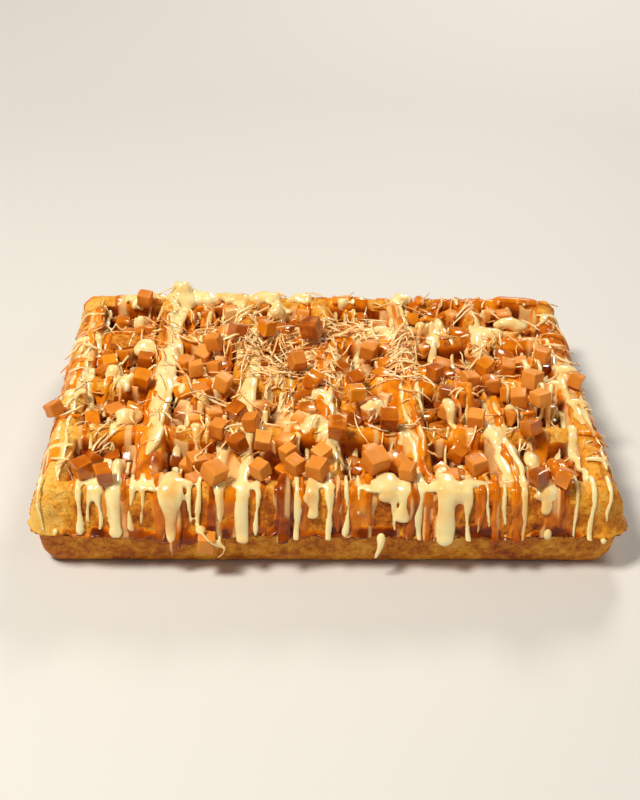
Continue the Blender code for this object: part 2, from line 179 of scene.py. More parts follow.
def meshObject(name, verts, faces, smooth=True):
    # verts in millimetres, faces as an array of equal-length rows
    mesh = bpy.data.meshes.new(name)
    faces = np.asarray(faces, np.int32)
    n, corners = faces.shape
    mesh.vertices.add(len(verts))
    mesh.vertices.foreach_set("co", (np.asarray(verts, np.float32) * mm).ravel())
    mesh.loops.add(n * corners)
    mesh.loops.foreach_set("vertex_index", faces.ravel())
    mesh.polygons.add(n)
    mesh.polygons.foreach_set("loop_start", np.arange(n, dtype=np.int32) * corners)
    mesh.polygons.foreach_set("use_smooth", np.full(n, smooth))
    mesh.update(calc_edges=True)
    mesh.validate()
    obj = bpy.data.objects.new(name, mesh)
    bpy.context.scene.collection.objects.link(obj)
    return obj


def paint(obj, name, values):
    # one number for each vertex, read by the materials
    layer = obj.data.attributes.new(name, "FLOAT", "POINT")
    layer.data.foreach_set("value", np.asarray(values, np.float32).ravel())


def vertexPlaces(obj):
    # the object's points in millimetres
    co = np.empty(len(obj.data.vertices) * 3, np.float32)
    obj.data.vertices.foreach_get("co", co)
    return co.reshape(-1, 3) / mm


def gridFaces(nx, ny, flip=False):
    # the quads of a grid stored row by row
    a = (np.arange(ny - 1)[:, None] * nx + np.arange(nx - 1)[None]).ravel()
    quads = np.stack([a, a + 1, a + nx + 1, a + nx], 1)
    return quads[:, ::-1] if flip else quads


def ringPairs(rings, spokes):
    # for rings stored one after another: every point but the last ring's, and its neighbour round the ring
    start, k = np.arange(rings - 1)[:, None] * spokes, np.arange(spokes)[None]
    return start + k, start + (k + 1) % spokes


def sweepTube(path, wide, thick, sides, across):
    # an oval carried along a path; across gives the direction of its width at each point
    path = np.asarray(path, float)
    along = np.gradient(path, axis=0)
    along /= np.maximum(np.linalg.norm(along, axis=1), 1e-9)[:, None]
    across = np.broadcast_to(across, path.shape)
    up = np.cross(across, along)
    up /= np.maximum(np.linalg.norm(up, axis=1), 1e-9)[:, None]
    turn = 2 * math.pi * np.arange(sides) / sides
    ring = (path[:, None] + across[:, None] * (np.cos(turn)[None] * wide[:, None] / 2)[..., None]
            + up[:, None] * (np.sin(turn)[None] * thick[:, None] / 2)[..., None])
    n = len(path)
    a, b = ringPairs(n, sides)
    quads = np.stack([a, b, b + sides, a + sides], -1).reshape(-1, 4)
    verts = np.concatenate([ring.reshape(-1, 3), path[:1], path[-1:]])
    here, following, tail = np.arange(sides), (np.arange(sides) + 1) % sides, (n - 1) * sides
    first = np.stack([np.full(sides, n * sides), following, here], 1)
    last = np.stack([np.full(sides, n * sides + 1), tail + here, tail + following], 1)
    return verts, quads, np.concatenate([first, last])


def ballSurface(centre, sizes, rings=10, spokes=16):
    # an ellipsoid from polar angles
    t = np.linspace(0.001, math.pi - 0.001, rings)[:, None]
    p = np.linspace(0, 2 * math.pi, spokes, endpoint=False)[None]
    shape = np.stack([np.sin(t) * np.cos(p), np.sin(t) * np.sin(p), np.cos(t) + 0 * p], -1)
    verts = shape.reshape(-1, 3) * np.asarray(sizes) + np.asarray(centre)
    a, b = ringPairs(rings, spokes)
    quads = np.stack([a, a + spokes, b + spokes, b], -1).reshape(-1, 4)
    fan = np.arange(1, spokes - 1)
    top, bottom = np.stack([0 * fan, fan, fan + 1], 1), np.stack([0 * fan, fan + 1, fan], 1)
    return verts, quads, np.concatenate([top, (rings - 1) * spokes + bottom])


def joinShapes(shapes):
    # puts (verts, quads, triangles) sets into one list of triangles
    verts, faces, base = [], [], 0
    for v, quads, caps in shapes:
        verts.append(v)
        if len(quads):
            faces.append(base + quads[:, [0, 1, 2]])
            faces.append(base + quads[:, [0, 2, 3]])
        if len(caps):
            faces.append(base + caps)
        base += len(v)
    return np.concatenate(verts), np.concatenate(faces)


def flowTogether(name, shapes, voxel, smoothing, share=1.0):
    # melts overlapping closed shapes into one skin on a voxel grid, smooths it and keeps a share of its faces
    verts, faces = joinShapes(shapes)
    obj = meshObject(name, verts, faces)
    melt = obj.modifiers.new("melt", "REMESH")
    melt.mode = "VOXEL"
    melt.voxel_size = voxel * mm
    melt.use_smooth_shade = True
    soften = obj.modifiers.new("soften", "SMOOTH")
    soften.factor = 0.5
    soften.iterations = smoothing
    if share < 1:
        thin = obj.modifiers.new("thin", "DECIMATE")
        thin.ratio = share
    graph = bpy.context.evaluated_depsgraph_get()
    mesh = bpy.data.meshes.new_from_object(obj.evaluated_get(graph))
    obj.modifiers.clear()
    obj.data = mesh
    mesh.name = name
    return obj


class Shader:
    # short words for building a node tree

    def __init__(self, name):
        # a new material with its Principled shader and object coordinates at hand
        self.mat = bpy.data.materials.new(name)
        self.mat.use_nodes = True
        self.tree = self.mat.node_tree
        self.body = self.tree.nodes["Principled BSDF"]
        self.place = self.add("ShaderNodeTexCoord").outputs["Object"]

    def add(self, kind, **values):
        # a node of a kind, with its settings
        node = self.tree.nodes.new(kind)
        for key, value in values.items():
            setattr(node, key, value)
        return node

    def put(self, target, value):
        # links a socket, or writes a fixed value
        if isinstance(value, bpy.types.NodeSocket):
            self.tree.links.new(value, target)
        else:
            target.default_value = value

    def noise(self, scale, detail=4.0, rough=0.55, warp=0.0):
        # cloudy noise from 0 to 1; scale counts its lumps in a metre
        node = self.add("ShaderNodeTexNoise")
        settings = {"Vector": self.place, "Scale": scale, "Detail": detail, "Roughness": rough, "Distortion": warp}
        for key, value in settings.items():
            self.put(node.inputs[key], value)
        return node.outputs["Fac"]

    def painted(self, name):
        # the number painted on each point of the mesh
        return self.add("ShaderNodeAttribute", attribute_name=name).outputs["Fac"]

    def math(self, kind, a, b=0.0):
        # a and b put together by the operation named
        node = self.add("ShaderNodeMath", operation=kind)
        self.put(node.inputs[0], a)
        self.put(node.inputs[1], b)
        return node.outputs[0]

    def sway(self, level, texture, amount):
        # the level, plus the amount times how far the texture is from its middle of 0.5
        return self.math("ADD", level, self.math("MULTIPLY", self.math("SUBTRACT", texture, 0.5), amount))

    def ramp(self, factor, stops):
        # colours blended along a factor, from place and colour pairs
        node = self.add("ShaderNodeValToRGB")
        self.put(node.inputs[0], factor)
        band = node.color_ramp
        while len(band.elements) < len(stops):
            band.elements.new(0.5)
        for element, (at, colour) in zip(band.elements, stops):
            element.position = at
            element.color = (*colour, 1)
        return node.outputs["Color"]

    def grey(self, factor, low, high, at=(0.0, 1.0)):
        # a straight line from low at the first place to high at the second, held beyond them
        node = self.add("ShaderNodeMapRange")
        for key, value in zip(("Value", "From Min", "From Max", "To Min", "To Max"), (factor, *at, low, high)):
            self.put(node.inputs[key], value)
        return node.outputs["Result"]

    def mix(self, factor, a, b, blend="MIX"):
        # colour a, covered by colour b by the factor
        node = self.add("ShaderNodeMix", data_type="RGBA", blend_type=blend)
        self.put(node.inputs[0], factor)
        for socket, colour in ((node.inputs[6], a), (node.inputs[7], b)):
            self.put(socket, colour if isinstance(colour, bpy.types.NodeSocket) else (*colour, 1))
        return node.outputs[2]

    def bump(self, height, strength, distance, under=None):
        # a surface direction tilted by the slope of a height, over an earlier one; distance in millimetres
        node = self.add("ShaderNodeBump")
        self.put(node.inputs["Height"], height)
        node.inputs["Strength"].default_value = strength
        node.inputs["Distance"].default_value = distance * mm
        if under is not None:
            self.put(node.inputs["Normal"], under)
        return node.outputs["Normal"]

    def set(self, **values):
        # writes the Principled shader's inputs by short names
        names = {"colour": "Base Color", "rough": "Roughness", "coat": "Coat Weight", "coatRough": "Coat Roughness",
                 "deep": "Subsurface Weight", "deepScale": "Subsurface Scale", "deepColour": "Subsurface Radius",
                 "normal": "Normal", "shine": "Specular IOR Level"}
        for key, value in values.items():
            if key == "colour" and not isinstance(value, bpy.types.NodeSocket):
                value = (*value, 1)
            self.put(self.body.inputs[names[key]], value)
        return self.mat


def makeCrust():
    # golden batter, browner where toasted and darker where shade is painted, with fine pits and a blistered skin
    s = Shader("crust")
    mottled = s.noise(230, 6, 0.66)
    broad = s.noise(80, 3, 0.5)
    blisters = s.noise(430, 5, 0.6, 0.4)
    grain = s.noise(1300, 4, 0.7)
    level = s.painted("toast")
    for texture, amount in ((mottled, 0.8), (broad, 0.7), (grain, 0.3), (blisters, 0.85)):
        level = s.sway(level, texture, amount)
    pores = s.grey(s.noise(900, 2, 0.5), 0.0, 1.0, (0.60, 0.72))
    level = s.math("ADD", level, s.math("MULTIPLY", pores, 0.14))
    colour = s.ramp(level, [(0.0, (0.93, 0.53, 0.10)), (0.28, (0.84, 0.345, 0.020)), (0.5, (0.60, 0.165, 0.005)),
                            (0.75, (0.30, 0.055, 0.002)), (1.0, (0.10, 0.015, 0.001))])
    skin = s.bump(mottled, 1.0, 1.0)
    skin = s.bump(blisters, 1.0, 1.1, skin)
    skin = s.bump(grain, 0.6, 0.3, skin)
    skin = s.bump(s.math("MULTIPLY", pores, -1.0), 0.7, 0.4, skin)
    return s.set(colour=colour, rough=s.grey(mottled, 0.42, 0.68), normal=skin, coat=0.04, coatRough=0.25,
                 deep=0.08, deepScale=0.002, shine=0.2)


def makeCaramel():
    # amber where thin, red brown where deep, and in the pockets' pools also darker as painted shade, wet on top
    s = Shader("caramel")
    swirl = s.noise(160, 3, 0.5, 0.6)
    grain = s.noise(420, 5, 0.6, 0.3)
    level = s.sway(s.sway(s.painted("depth"), swirl, 0.65), grain, 0.4)
    colour = s.ramp(level, [(0.0, (0.88, 0.33, 0.012)), (0.28, (0.70, 0.18, 0.002)), (0.55, (0.40, 0.075, 0.001)),
                            (0.8, (0.20, 0.028, 0.0005)), (1.0, (0.09, 0.010, 0.0003))])
    colour = s.mix(s.painted("cream"), colour, (0.93, 0.60, 0.24))
    return s.set(colour=colour, rough=0.2, coat=0.28, coatRough=0.05, shine=0.14,
                 deep=0.05, deepScale=0.0015, deepColour=(1.0, 0.35, 0.08),
                 normal=s.bump(grain, 0.35, 0.35, s.bump(s.noise(200, 3, 0.5), 0.5, 0.8)))


def makeCream():
    # ivory sauce, thick and glossy, a little clearer and browner where it is thin
    s = Shader("cream")
    tint = s.math("ADD", s.noise(120, 3, 0.5, 0.4), s.math("MULTIPLY", s.painted("tan"), -0.22))
    colour = s.ramp(tint, [(0.1, (0.88, 0.43, 0.10)), (0.36, (0.98, 0.68, 0.26)), (0.5, (1.0, 0.775, 0.35)),
                           (0.85, (1.0, 0.85, 0.45))])
    return s.set(colour=colour, rough=0.2, coat=1.0, coatRough=0.06,
                 deep=0.25, deepScale=0.002, deepColour=(1.0, 0.7, 0.35),
                 normal=s.bump(s.noise(260, 2, 0.5), 0.14, 0.3))


def makeFudge():
    # dense tan fudge, matte and fine grained; glazed with amber caramel and cream where painted so
    s = Shader("fudge")
    grain = s.noise(900, 4, 0.65)
    patch = s.noise(130, 2, 0.5)
    tone = s.painted("tone")
    colour = s.ramp(s.sway(tone, patch, 0.5), [(0.0, (0.48, 0.125, 0.0065)), (0.35, (0.69, 0.225, 0.019)),
                                               (0.7, (0.83, 0.32, 0.038)), (1.0, (0.925, 0.45, 0.09))])
    colour = s.mix(s.math("MULTIPLY", grain, 0.25), colour, (0.63, 0.26, 0.055), "MULTIPLY")
    wet = s.grey(s.sway(s.painted("glaze"), s.noise(170, 3, 0.5), 0.9), 0.0, 1.0, (0.42, 0.55))
    amber = s.ramp(s.sway(tone, s.noise(110, 2, 0.5), 1.1), [(0.0, (0.16, 0.024, 0.001)), (0.4, (0.48, 0.105, 0.002)),
                                                             (0.7, (0.76, 0.23, 0.006)), (1.0, (0.90, 0.36, 0.02))])
    colour = s.mix(wet, colour, amber)
    colour = s.mix(s.painted("cream"), colour, (0.94, 0.64, 0.28))
    skin = s.bump(s.noise(210, 4, 0.6), 0.5, 0.6, s.bump(grain, 0.3, 0.2))
    return s.set(colour=colour, rough=s.grey(wet, 0.46, 0.12), normal=skin, coat=s.grey(wet, 0.06, 0.6),
                 coatRough=0.06, shine=0.3, deep=0.15, deepScale=0.0015)


def makeShred():
    # toasted coconut: cream in the middle of a shred, tan to brown at its ends
    s = Shader("coconut")
    colour = s.ramp(s.sway(s.painted("toast"), s.noise(300, 3, 0.5), 0.5),
                    [(0.0, (1.0, 0.78, 0.40)), (0.35, (0.98, 0.53, 0.14)), (0.65, (0.70, 0.20, 0.015)),
                     (1.0, (0.24, 0.04, 0.003))])
    return s.set(colour=colour, rough=0.32, coat=0.5, coatRough=0.12,
                 normal=s.bump(s.noise(1400, 3, 0.6), 0.3, 0.15))


crustMat, caramelMat, creamMat, fudgeMat, shredMat = makeCrust(), makeCaramel(), makeCream(), makeFudge(), makeShred()
print("materials made")


def addPiece(obj, material):
    # gives a piece its material and its body
    obj.data.materials.clear()
    obj.data.materials.append(material)
    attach(obj, rootBody)
    return obj


def seamTeeth(x, y):
    # how far the torn seam is pulled in at a place on the edge, in millimetres
    run = x * 1.0 + y * 1.37
    fine = np.abs(latticeNoise(run, run * 0 + 3.3, 1.5, 5))
    return waffle["teeth"] * (fine + 0.25) * (0.6 + 0.4 * latticeNoise(run, run * 0, 9.0, 6))


def sag(x, y, q):
    # the seam hangs lower where batter and sauce dried together at the front
    hump = np.exp(-((x - waffle["sagPlace"]) / waffle["sagWidth"]) ** 2)
    return waffle["sag"] * hump * easeStep(q, 0.8, 1.0) * (y < -halfY)


def crustSheet(xs, ys):
    # places of one baked face: corners rounded, the outer ring pulled in by the seam's teeth
    gx, gy = np.meshgrid(xs, ys)
    px, py = roundCorners(gx, gy)
    q = outward(px, py)
    away = np.stack([np.sign(px) * np.maximum(np.abs(px) - halfX, 0) / wallX,
                     np.sign(py) * np.maximum(np.abs(py) - halfY, 0) / wallY], -1)
    away /= np.maximum(np.linalg.norm(away, axis=-1), 1e-6)[..., None]
    pull = seamTeeth(px, py) * easeStep(q, 0.86, 1.0)
    return px - away[..., 0] * pull, py - away[..., 1] * pull, q, away


xs = gridLines(halfX, waffle["width"] / 2, waffle["columns"], *waffle["upperGrid"])
ys = gridLines(halfY, waffle["depth"] / 2, waffle["rows"], *waffle["upperGrid"])
px, py, q, away = crustSheet(xs, ys)
pz = bakedHeight(px, py)
relief = layeredNoise(px, py + 1.3 * pz, 3.4, 21) + 0.9 * layeredNoise(px, py + pz, 12.0, 40)
strength = np.where(q > 0.86, 0.5, np.where(q > 0.3, 1, 1.4))  # rougher on the ribs than on the walls and seam
pz = pz + waffle["crustRelief"] * relief * strength - sag(px, py, q)
nearX = np.abs(py) < np.abs(px) * halfY / halfX
along = np.where(nearX, py, px)
sideOn = easeStep(q, 0.25, 0.5) * (1 - easeStep(q, 0.85, 1.0))
bulge = sideOn * sum(rise * latticeNoise(along, pz, size, seed) for rise, size, seed in waffle["bulges"])
px = px + np.where(nearX, np.sign(px) * bulge, 0)
py = py + np.where(nearX, 0, np.sign(py) * bulge)
upper = np.stack([px, py, pz], -1)
nx, ny = len(xs), len(ys)
print("baked face", nx, ny)

# the face's outward directions, used to lay films of sauce on it
normals = np.cross(np.gradient(upper, axis=1), np.gradient(upper, axis=0))
normals /= np.maximum(np.linalg.norm(normals, axis=-1), 1e-9)[..., None]

# how brown the crust is, with painted shade in the pockets, on the lip and on the underside: 0 pale, 1 dark
toasting = {
    "base": 0.30, "broad": 0.16, "fine": 0.10, "frontMiddle": 0.17, "panels": 0.1, "edge": 0.16,
    "leftRim": 0.28, "rightRim": -0.06, "pockets": 0.12, "lip": 0.25,
    "under": 0.46, "underBroad": 0.2, "underPockets": 0.1,
}
toast = toasting["base"] + toasting["broad"] * layeredNoise(px * 0.7, py * 0.7 + pz, 11.0, 71)
toast += toasting["fine"] * layeredNoise(px, py + pz, 4.0, 77)
middle = (1 - easeStep(np.abs(px), 60, 84)) * (1 - easeStep(np.abs(pz - 21), 3, 8))
toast += toasting["frontMiddle"] * easeStep(q, 0.25, 0.45) * middle * easeStep(-py, 20, 50)
panel = 1 - easeStep(fromRib(px + waffle["pitch"] / 2, waffle["columns"]), 5.0, 9.5)
panel = panel * (1 - easeStep(np.abs(pz - 22.5), 3.0, 5.5)) * (py < -halfY)
toast += toasting["panels"] * panel * easeStep(latticeNoise(px, px * 0, 21.0, 91), -0.3, 0.3)
atEdge = easeStep(q, 0.9, 1.0)
rimShade = np.where(px < 0, toasting["leftRim"], toasting["rightRim"]) * easeStep(np.abs(px), 78, 88)
toast += toasting["edge"] * atEdge - rimShade * (1 - atEdge)
# painted shade: the crust is darker down in the deeper pockets
toast += toasting["pockets"] * easeStep(pocketDepthAt(px, py), 3, 10) * (q <= 0)

# the seam's thin edge turns in under the crust and ends inside the lower half
order = np.arange(nx * ny).reshape(ny, nx)
loop = np.concatenate([order[0, :-1], order[:-1, -1], order[-1, :0:-1], order[:0:-1, 0]])
edgeRing = upper.reshape(-1, 3)[loop]
inwards = np.append(away.reshape(-1, 2)[loop], np.zeros((len(loop), 1)), 1)
lip = edgeRing - waffle["lipIn"] * inwards - [0, 0, waffle["flashThick"]]
tucked = edgeRing - waffle["tuckIn"] * inwards
tucked[:, 2] = waffle["tuckHeight"]
ringOne = nx * ny + np.arange(len(loop))
ringTwo = ringOne + len(loop)
lipFaces = [np.stack([a, b, np.roll(b, -1), np.roll(a, -1)], 1) for a, b in ((loop, ringOne), (ringOne, ringTwo))]
crust = meshObject("bakedCrust", np.concatenate([upper.reshape(-1, 3), lip, tucked]),
                   np.concatenate([gridFaces(nx, ny)] + lipFaces))
# the lip under the seam's edge is darker: partly the browned thin edge, partly painted shade in the crease between
# the halves
lipToastAndShade = toast.ravel()[loop] + toasting["lip"]
paint(crust, "toast", np.concatenate([toast.ravel(), lipToastAndShade, lipToastAndShade]))
addPiece(crust, crustMat)
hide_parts("waffle")

# the underside, down from the seam
bx = gridLines(halfX, waffle["width"] / 2, waffle["columns"], *waffle["underGrid"], waffle["underShare"])
by = gridLines(halfY, waffle["depth"] / 2, waffle["rows"], *waffle["underGrid"], waffle["underShare"])
ux, uy, uq, _ = crustSheet(bx, by)
drop = np.minimum(np.interp(fromRib(ux, waffle["columns"]), *underTable),
                  np.interp(fromRib(uy, waffle["rows"]), *underTable))
uz = np.where(uq > 0, np.interp(uq, *underWallTable), drop) - sag(ux, uy, uq)
rough = 0.2 * layeredNoise(ux, uy + uz, 3.4, 22) + 0.2 * latticeNoise(ux, uy + uz, 9.0, 23)
uz = np.maximum(uz + np.where(uz > 0.4, rough, 0), 0)
under = meshObject("bakedUnderside", np.stack([ux, uy, uz], -1).reshape(-1, 3),
                   gridFaces(len(bx), len(by), True))
# the underside is darker than the top: partly browner crust, partly painted shade under the seam's overhang
underToastAndShade = toasting["under"] + toasting["underBroad"] * layeredNoise(ux, uy + uz, 9.0, 83)
paint(under, "toast", underToastAndShade - toasting["underPockets"] * easeStep(drop, 3, 9))
addPiece(under, crustMat)
print("baked body made")


fudge = {
    "rounding": 0.45, "steps": 9, "seed": 31,
    # pieces sunk in each pocket: number in each layer, how many fewer at the front, edges, spread of the places,
    # lowest height, lift of the second layer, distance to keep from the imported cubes, and lines on a face
    "perLayer": (9, 4), "fewerInFront": 3, "edge": (4.6, 6.4), "spread": 6.4, "jitter": 1.1,
    "lowest": 18.2, "lift": (3.4, 5.6), "apart": 3.6, "sunkenSteps": 4,
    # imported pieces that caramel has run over, by their number
    "glazed": {
        1: 0.55, 4: 0.75, 6: 0.5, 8: 0.35, 9: 0.3, 11: 0.4, 12: 0.55, 16: 0.6, 17: 0.8, 18: 0.9, 19: 0.8, 22: 0.9,
        26: 0.8, 28: 0.3, 30: 0.75, 31: 0.9, 32: 0.8, 35: 0.9, 36: 0.5, 37: 0.45, 38: 0.5, 40: 0.7, 46: 0.95,
        47: 0.8, 48: 0.8, 49: 0.8, 52: 1, 54: 0.6, 55: 0.6,
    },
    "capped": [12],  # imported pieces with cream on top
    "hanging": (-38.2, -65.0, 13.8, 5.8, 0.35),  # the cube in the cream at the front, written as below
    # cubes of the stacks beyond the sixty named pieces: place, height, edge and glaze
    "stacked": [
        (74.2, -12.2, 34, 5.2, 0.4), (61, -19.6, 29.6, 5.2, 0.5), (71.6, 5, 32.6, 5.4, 0.75),
        (-43, -14.8, 30.4, 5, 0.6), (71, -50, 30, 5.4, 0.7), (-34.6, 19.6, 31.4, 5, 0.9), (40, -20, 31.6, 5, 0.2),
        (-30.6, -36, 32, 4.8, 0.5), (-41.8, -47.2, 30.4, 5.8, 0), (-42.4, -54.6, 28.4, 5, 0.3),
        (61.4, -8.4, 31.6, 5.4, 0.9), (45.6, -14.6, 34.2, 5.6, 0.9), (-62, -57, 27, 4.6, 0.8),
    ],
}


def cubeFrame(obj):
    # centre, the three face directions and the edge length of a packed cube
    mesh = obj.data
    co = vertexPlaces(obj)
    mesh.calc_loop_triangles()
    tri = np.empty(len(mesh.loop_triangles) * 3, np.int32)
    mesh.loop_triangles.foreach_get("vertices", tri)
    tri = tri.reshape(-1, 3)
    cross = np.cross(co[tri[:, 1]] - co[tri[:, 0]], co[tri[:, 2]] - co[tri[:, 0]])
    area = np.linalg.norm(cross, axis=1)
    unit = cross / np.maximum(area, 1e-9)[:, None]
    first = unit[np.argmax(area)]
    side = np.argmax(np.where(np.abs(unit @ first) < 0.05, area, 0))
    second = unit[side] - first * (unit[side] @ first)
    second /= np.linalg.norm(second)
    axes = np.stack([first, second, np.cross(first, second)])
    reach = co @ axes.T
    centre = ((reach.max(0) + reach.min(0)) / 2) @ axes
    return centre, axes, float((reach.max(0) - reach.min(0)).mean())


def roundedCube(half, rounding, steps):
    # a cube's surface grid: the inner box plus a rounding along the outward direction
    a = np.linspace(-1, 1, steps)
    bend = rounding / half - 1
    a = np.sign(a) * np.abs(a) ** 0.75 if steps > 4 else np.array([-1, bend, -bend, 1])
    gx, gy = np.meshgrid(a, a)
    flat = np.ones_like(gx)
    sides = [(gx, gy, flat), (gx, -gy, -flat), (flat, gx, gy), (-flat, gx, -gy), (gy, flat, gx), (-gy, -flat, gx)]
    verts, quads = [], []
    for k, (x, y, z) in enumerate(sides):
        p = np.stack([x, y, z], -1).reshape(-1, 3) * half
        inner = np.clip(p, -(half - rounding), half - rounding)
        d = p - inner
        verts.append(inner + rounding * d / np.maximum(np.linalg.norm(d, axis=1), 1e-9)[:, None])
        quads.append(gridFaces(steps, steps) + k * steps * steps)
    return np.concatenate(verts), np.concatenate(quads)


def unevenCube(edge, rounding, steps, draw, uneven):
    # a cut piece: sides not quite square, faces a little hollow, one end larger than the other
    v, f = roundedCube(edge / 2, rounding, steps)
    v = v * draw.uniform(0.9, 1.0, 3)
    shift = draw.uniform(0, 50)
    v += uneven * np.stack([latticeNoise(v[:, (k + 1) % 3] + shift + k * 9, v[:, (k + 2) % 3], 2.4, k + 300)
                            for k in range(3)], 1)
    v[:, :2] *= 1 + draw.uniform(-0.1, 0.1) * v[:, 2:] / edge
    v[:, 0] += draw.uniform(-0.12, 0.12) * v[:, 2]
    return v, f


def turnUpright(angle):
    # the matrix of a turn about the upright axis
    return np.array([[math.cos(angle), -math.sin(angle), 0], [math.sin(angle), math.cos(angle), 0], [0, 0, 1]])


def randomTurn(draw, tilt):
    # a turn about the upright, then a tilt about a level line
    a, b, c = draw.uniform(0, 2 * math.pi), draw.normal(0, tilt), draw.uniform(0, math.pi)
    lean = np.array([[1, 0, 0], [0, math.cos(b), -math.sin(b)], [0, math.sin(b), math.cos(b)]])
    return turnUpright(c) @ lean @ turnUpright(a)


def edgeTone(v, edge):
    # lighter where two faces meet
    return 0.16 * easeStep(np.sort(np.abs(v), axis=1)[:, 1] / (edge / 2), 0.72, 1.0)


draw = np.random.default_rng(fudge["seed"])
nodeNames = sorted(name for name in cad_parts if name.startswith("fudge"))
parts, places = [], []
for number, name in enumerate(nodeNames, 1):
    centre, axes, edge = cubeFrame(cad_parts[name])
    places.append((centre, edge))
    v, f = unevenCube(edge, fudge["rounding"], fudge["steps"], draw, 0.2)
    world = v @ axes + centre
    soaked = easeStep((centre[2] - world[:, 2]) / edge, 0.15, 0.6)
    glaze = fudge["glazed"].get(number, 0.0) + 0.45 * soaked
    tone = draw.uniform(0.35, 0.75) + edgeTone(v, edge) - 0.2 * soaked
    cap = easeStep(world[:, 2] - centre[2], 0.6, 1.6) if number in fudge["capped"] else 0.0
    parts.append((world, f, tone, np.minimum(glaze, 1), cap + np.zeros(len(v))))


def gather(name, parts):
    # one object from many cubes, with their tones
    sizes = np.cumsum([0] + [len(p[0]) for p in parts[:-1]])
    obj = meshObject(name, np.concatenate([p[0] for p in parts]),
                     np.concatenate([p[1] + n for p, n in zip(parts, sizes)]))
    for key, column in (("tone", 2), ("glaze", 3), ("cream", 4)):
        paint(obj, key, np.concatenate([p[column] for p in parts]))
    return addPiece(obj, fudgeMat)


cubes = gather("fudgeCubes", parts)
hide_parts(*nodeNames)

# the pockets are full of smaller pieces sunk in caramel
cubeCentres = np.array([p[0] for p in places])
lumps = []
grid = np.array([(a, b) for a in (-1, 0, 1) for b in (-1, 0, 1)]) * fudge["spread"]
for j in range(waffle["rows"]):
    for i in range(waffle["columns"]):
        cx, cy = pocketCentre(i, j)
        for layer in (0, 1):
            number = fudge["perLayer"][layer] - (fudge["fewerInFront"] if j == 0 else 0)
            for k in draw.permutation(9)[:number]:
                edge = draw.uniform(*fudge["edge"])
                place = np.array([cx, cy, 0]) + np.append(grid[k] + draw.normal(0, fudge["jitter"], 2), 0)
                place[2] = fudge["lowest"] + poolDepth[j, i] * 0.5 + edge * 0.4 + layer * draw.uniform(*fudge["lift"])
                if np.min(np.linalg.norm(cubeCentres - place, axis=1)) < fudge["apart"]:
                    continue
                v, f = unevenCube(edge, 0.8, fudge["sunkenSteps"], draw, 0.3)
                world = v @ randomTurn(draw, 0.3) + place
                streak = easeStep(latticeNoise(world[:, 0], 0.22 * world[:, 1], 1.9, 351), 0.3, 0.5)
                streak = streak * easeStep(world[:, 2], 22, 25)
                # painted shade: pieces lying low in the pockets are darker
                tone = draw.uniform(0.25, 0.75) + edgeTone(v, edge) - 0.6 * (1 - easeStep(world[:, 2], 21, 26))
                glaze = np.full(len(v), draw.choice([0.25, 0.8, 1.0], p=[0.2, 0.4, 0.4]))
                lumps.append((world, f, tone, glaze, 0.85 * streak))
for x, y, z, edge, glaze in fudge["stacked"]:
    v, f = unevenCube(edge, fudge["rounding"], fudge["steps"], draw, 0.14)
    world = v @ randomTurn(draw, 0.25) + np.array([x, y, z])
    tone = draw.uniform(0.35, 0.75) + edgeTone(v, edge)
    lumps.append((world, f, tone, np.full(len(v), glaze), np.zeros(len(v))))
x, y, z, edge, glaze = fudge["hanging"]
v, f = unevenCube(edge, 0.5, fudge["steps"], draw, 0.14)
world = v @ randomTurn(draw, 0.12) + np.array([x, y, z])
lumps.append((world, f, 0.62 + edgeTone(v, edge), np.full(len(v), glaze), np.zeros(len(v))))
gather("glazedPieces", lumps)
print("fudge made", len(nodeNames), len(lumps))


# a raster of heights that sauces and coconut rest on: its cell and half sizes
cell, rasterX, rasterY = 0.5, 105.0, 75.0
gridX, gridY = np.meshgrid(np.arange(-rasterX, rasterX, cell), np.arange(-rasterY, rasterY, cell))
inside = (np.abs(gridX) < 94) & (np.abs(gridY) < 64)
ground = np.where(inside, topHeight(gridX, gridY), 14.0)


def cellOf(x, y):
    # row and column of the raster under a place
    i = np.clip(((np.asarray(x) + rasterX) / cell).astype(int), 0, gridX.shape[1] - 1)
    j = np.clip(((np.asarray(y) + rasterY) / cell).astype(int), 0, gridX.shape[0] - 1)
    return j, i


def liftTo(height, points):
    # lifts the raster to the points above it, with their neighbours
    layer = np.full(height.shape, -1.0)
    np.maximum.at(layer, cellOf(points[:, 0], points[:, 1]), points[:, 2])
    for axis in (0, 1):
        layer = np.maximum(layer, np.maximum(np.roll(layer, 1, axis), np.roll(layer, -1, axis)))
    return np.maximum(height, layer)


def soften(height, times):
    # averages the raster with its neighbours
    for _ in range(times):
        for axis in (0, 1):
            height = (height * 2 + np.roll(height, 1, axis) + np.roll(height, -1, axis)) / 4
    return height


sauceLevel = soften(liftTo(ground, np.concatenate([p[0] for p in lumps])), 2)


caramel = {
    "filmDepth": 0.6, "cover": 0.02, "topStreaks": 0.7, "wallStreaks": 0.55,
    # deep red brown puddles caught on the seam at the front: place and half width
    "pools": [
        (-37.2, 3.4), (-33, 2), (-15, 3.4), (2.4, 4), (14, 5.6), (43.5, 5), (49.6, 3), (70, 5.4), (-71.5, 2.2),
    ],
    # along the front rim: place, width, height of its lower end, depth of colour
    "film": [
        (-63.5, 3, 14.5, 0.35), (-52.5, 4, 17, 0.3), (-45.5, 2.2, 14.5, 0.35), (-36.5, 3, 16, 0.62),
        (-14.2, 6.2, 13.6, 0.72), (-8.6, 3, 14.2, 0.3), (2.4, 3, 14.5, 0.4), (7.6, 3.4, 15, 0.3),
        (12, 2.6, 17, 0.3), (24.5, 3.4, 15, 0.5), (29.2, 3.2, 13.6, 0.25), (32, 2, 13.6, 0.3),
        (46.5, 3.4, 14, 0.35), (51.4, 3.6, 13.2, 0.25), (58, 3.6, 13.4, 0.3), (70, 7.5, 14.6, 0.42),
        (38.8, 3, 19, 0.4),
    ],
}


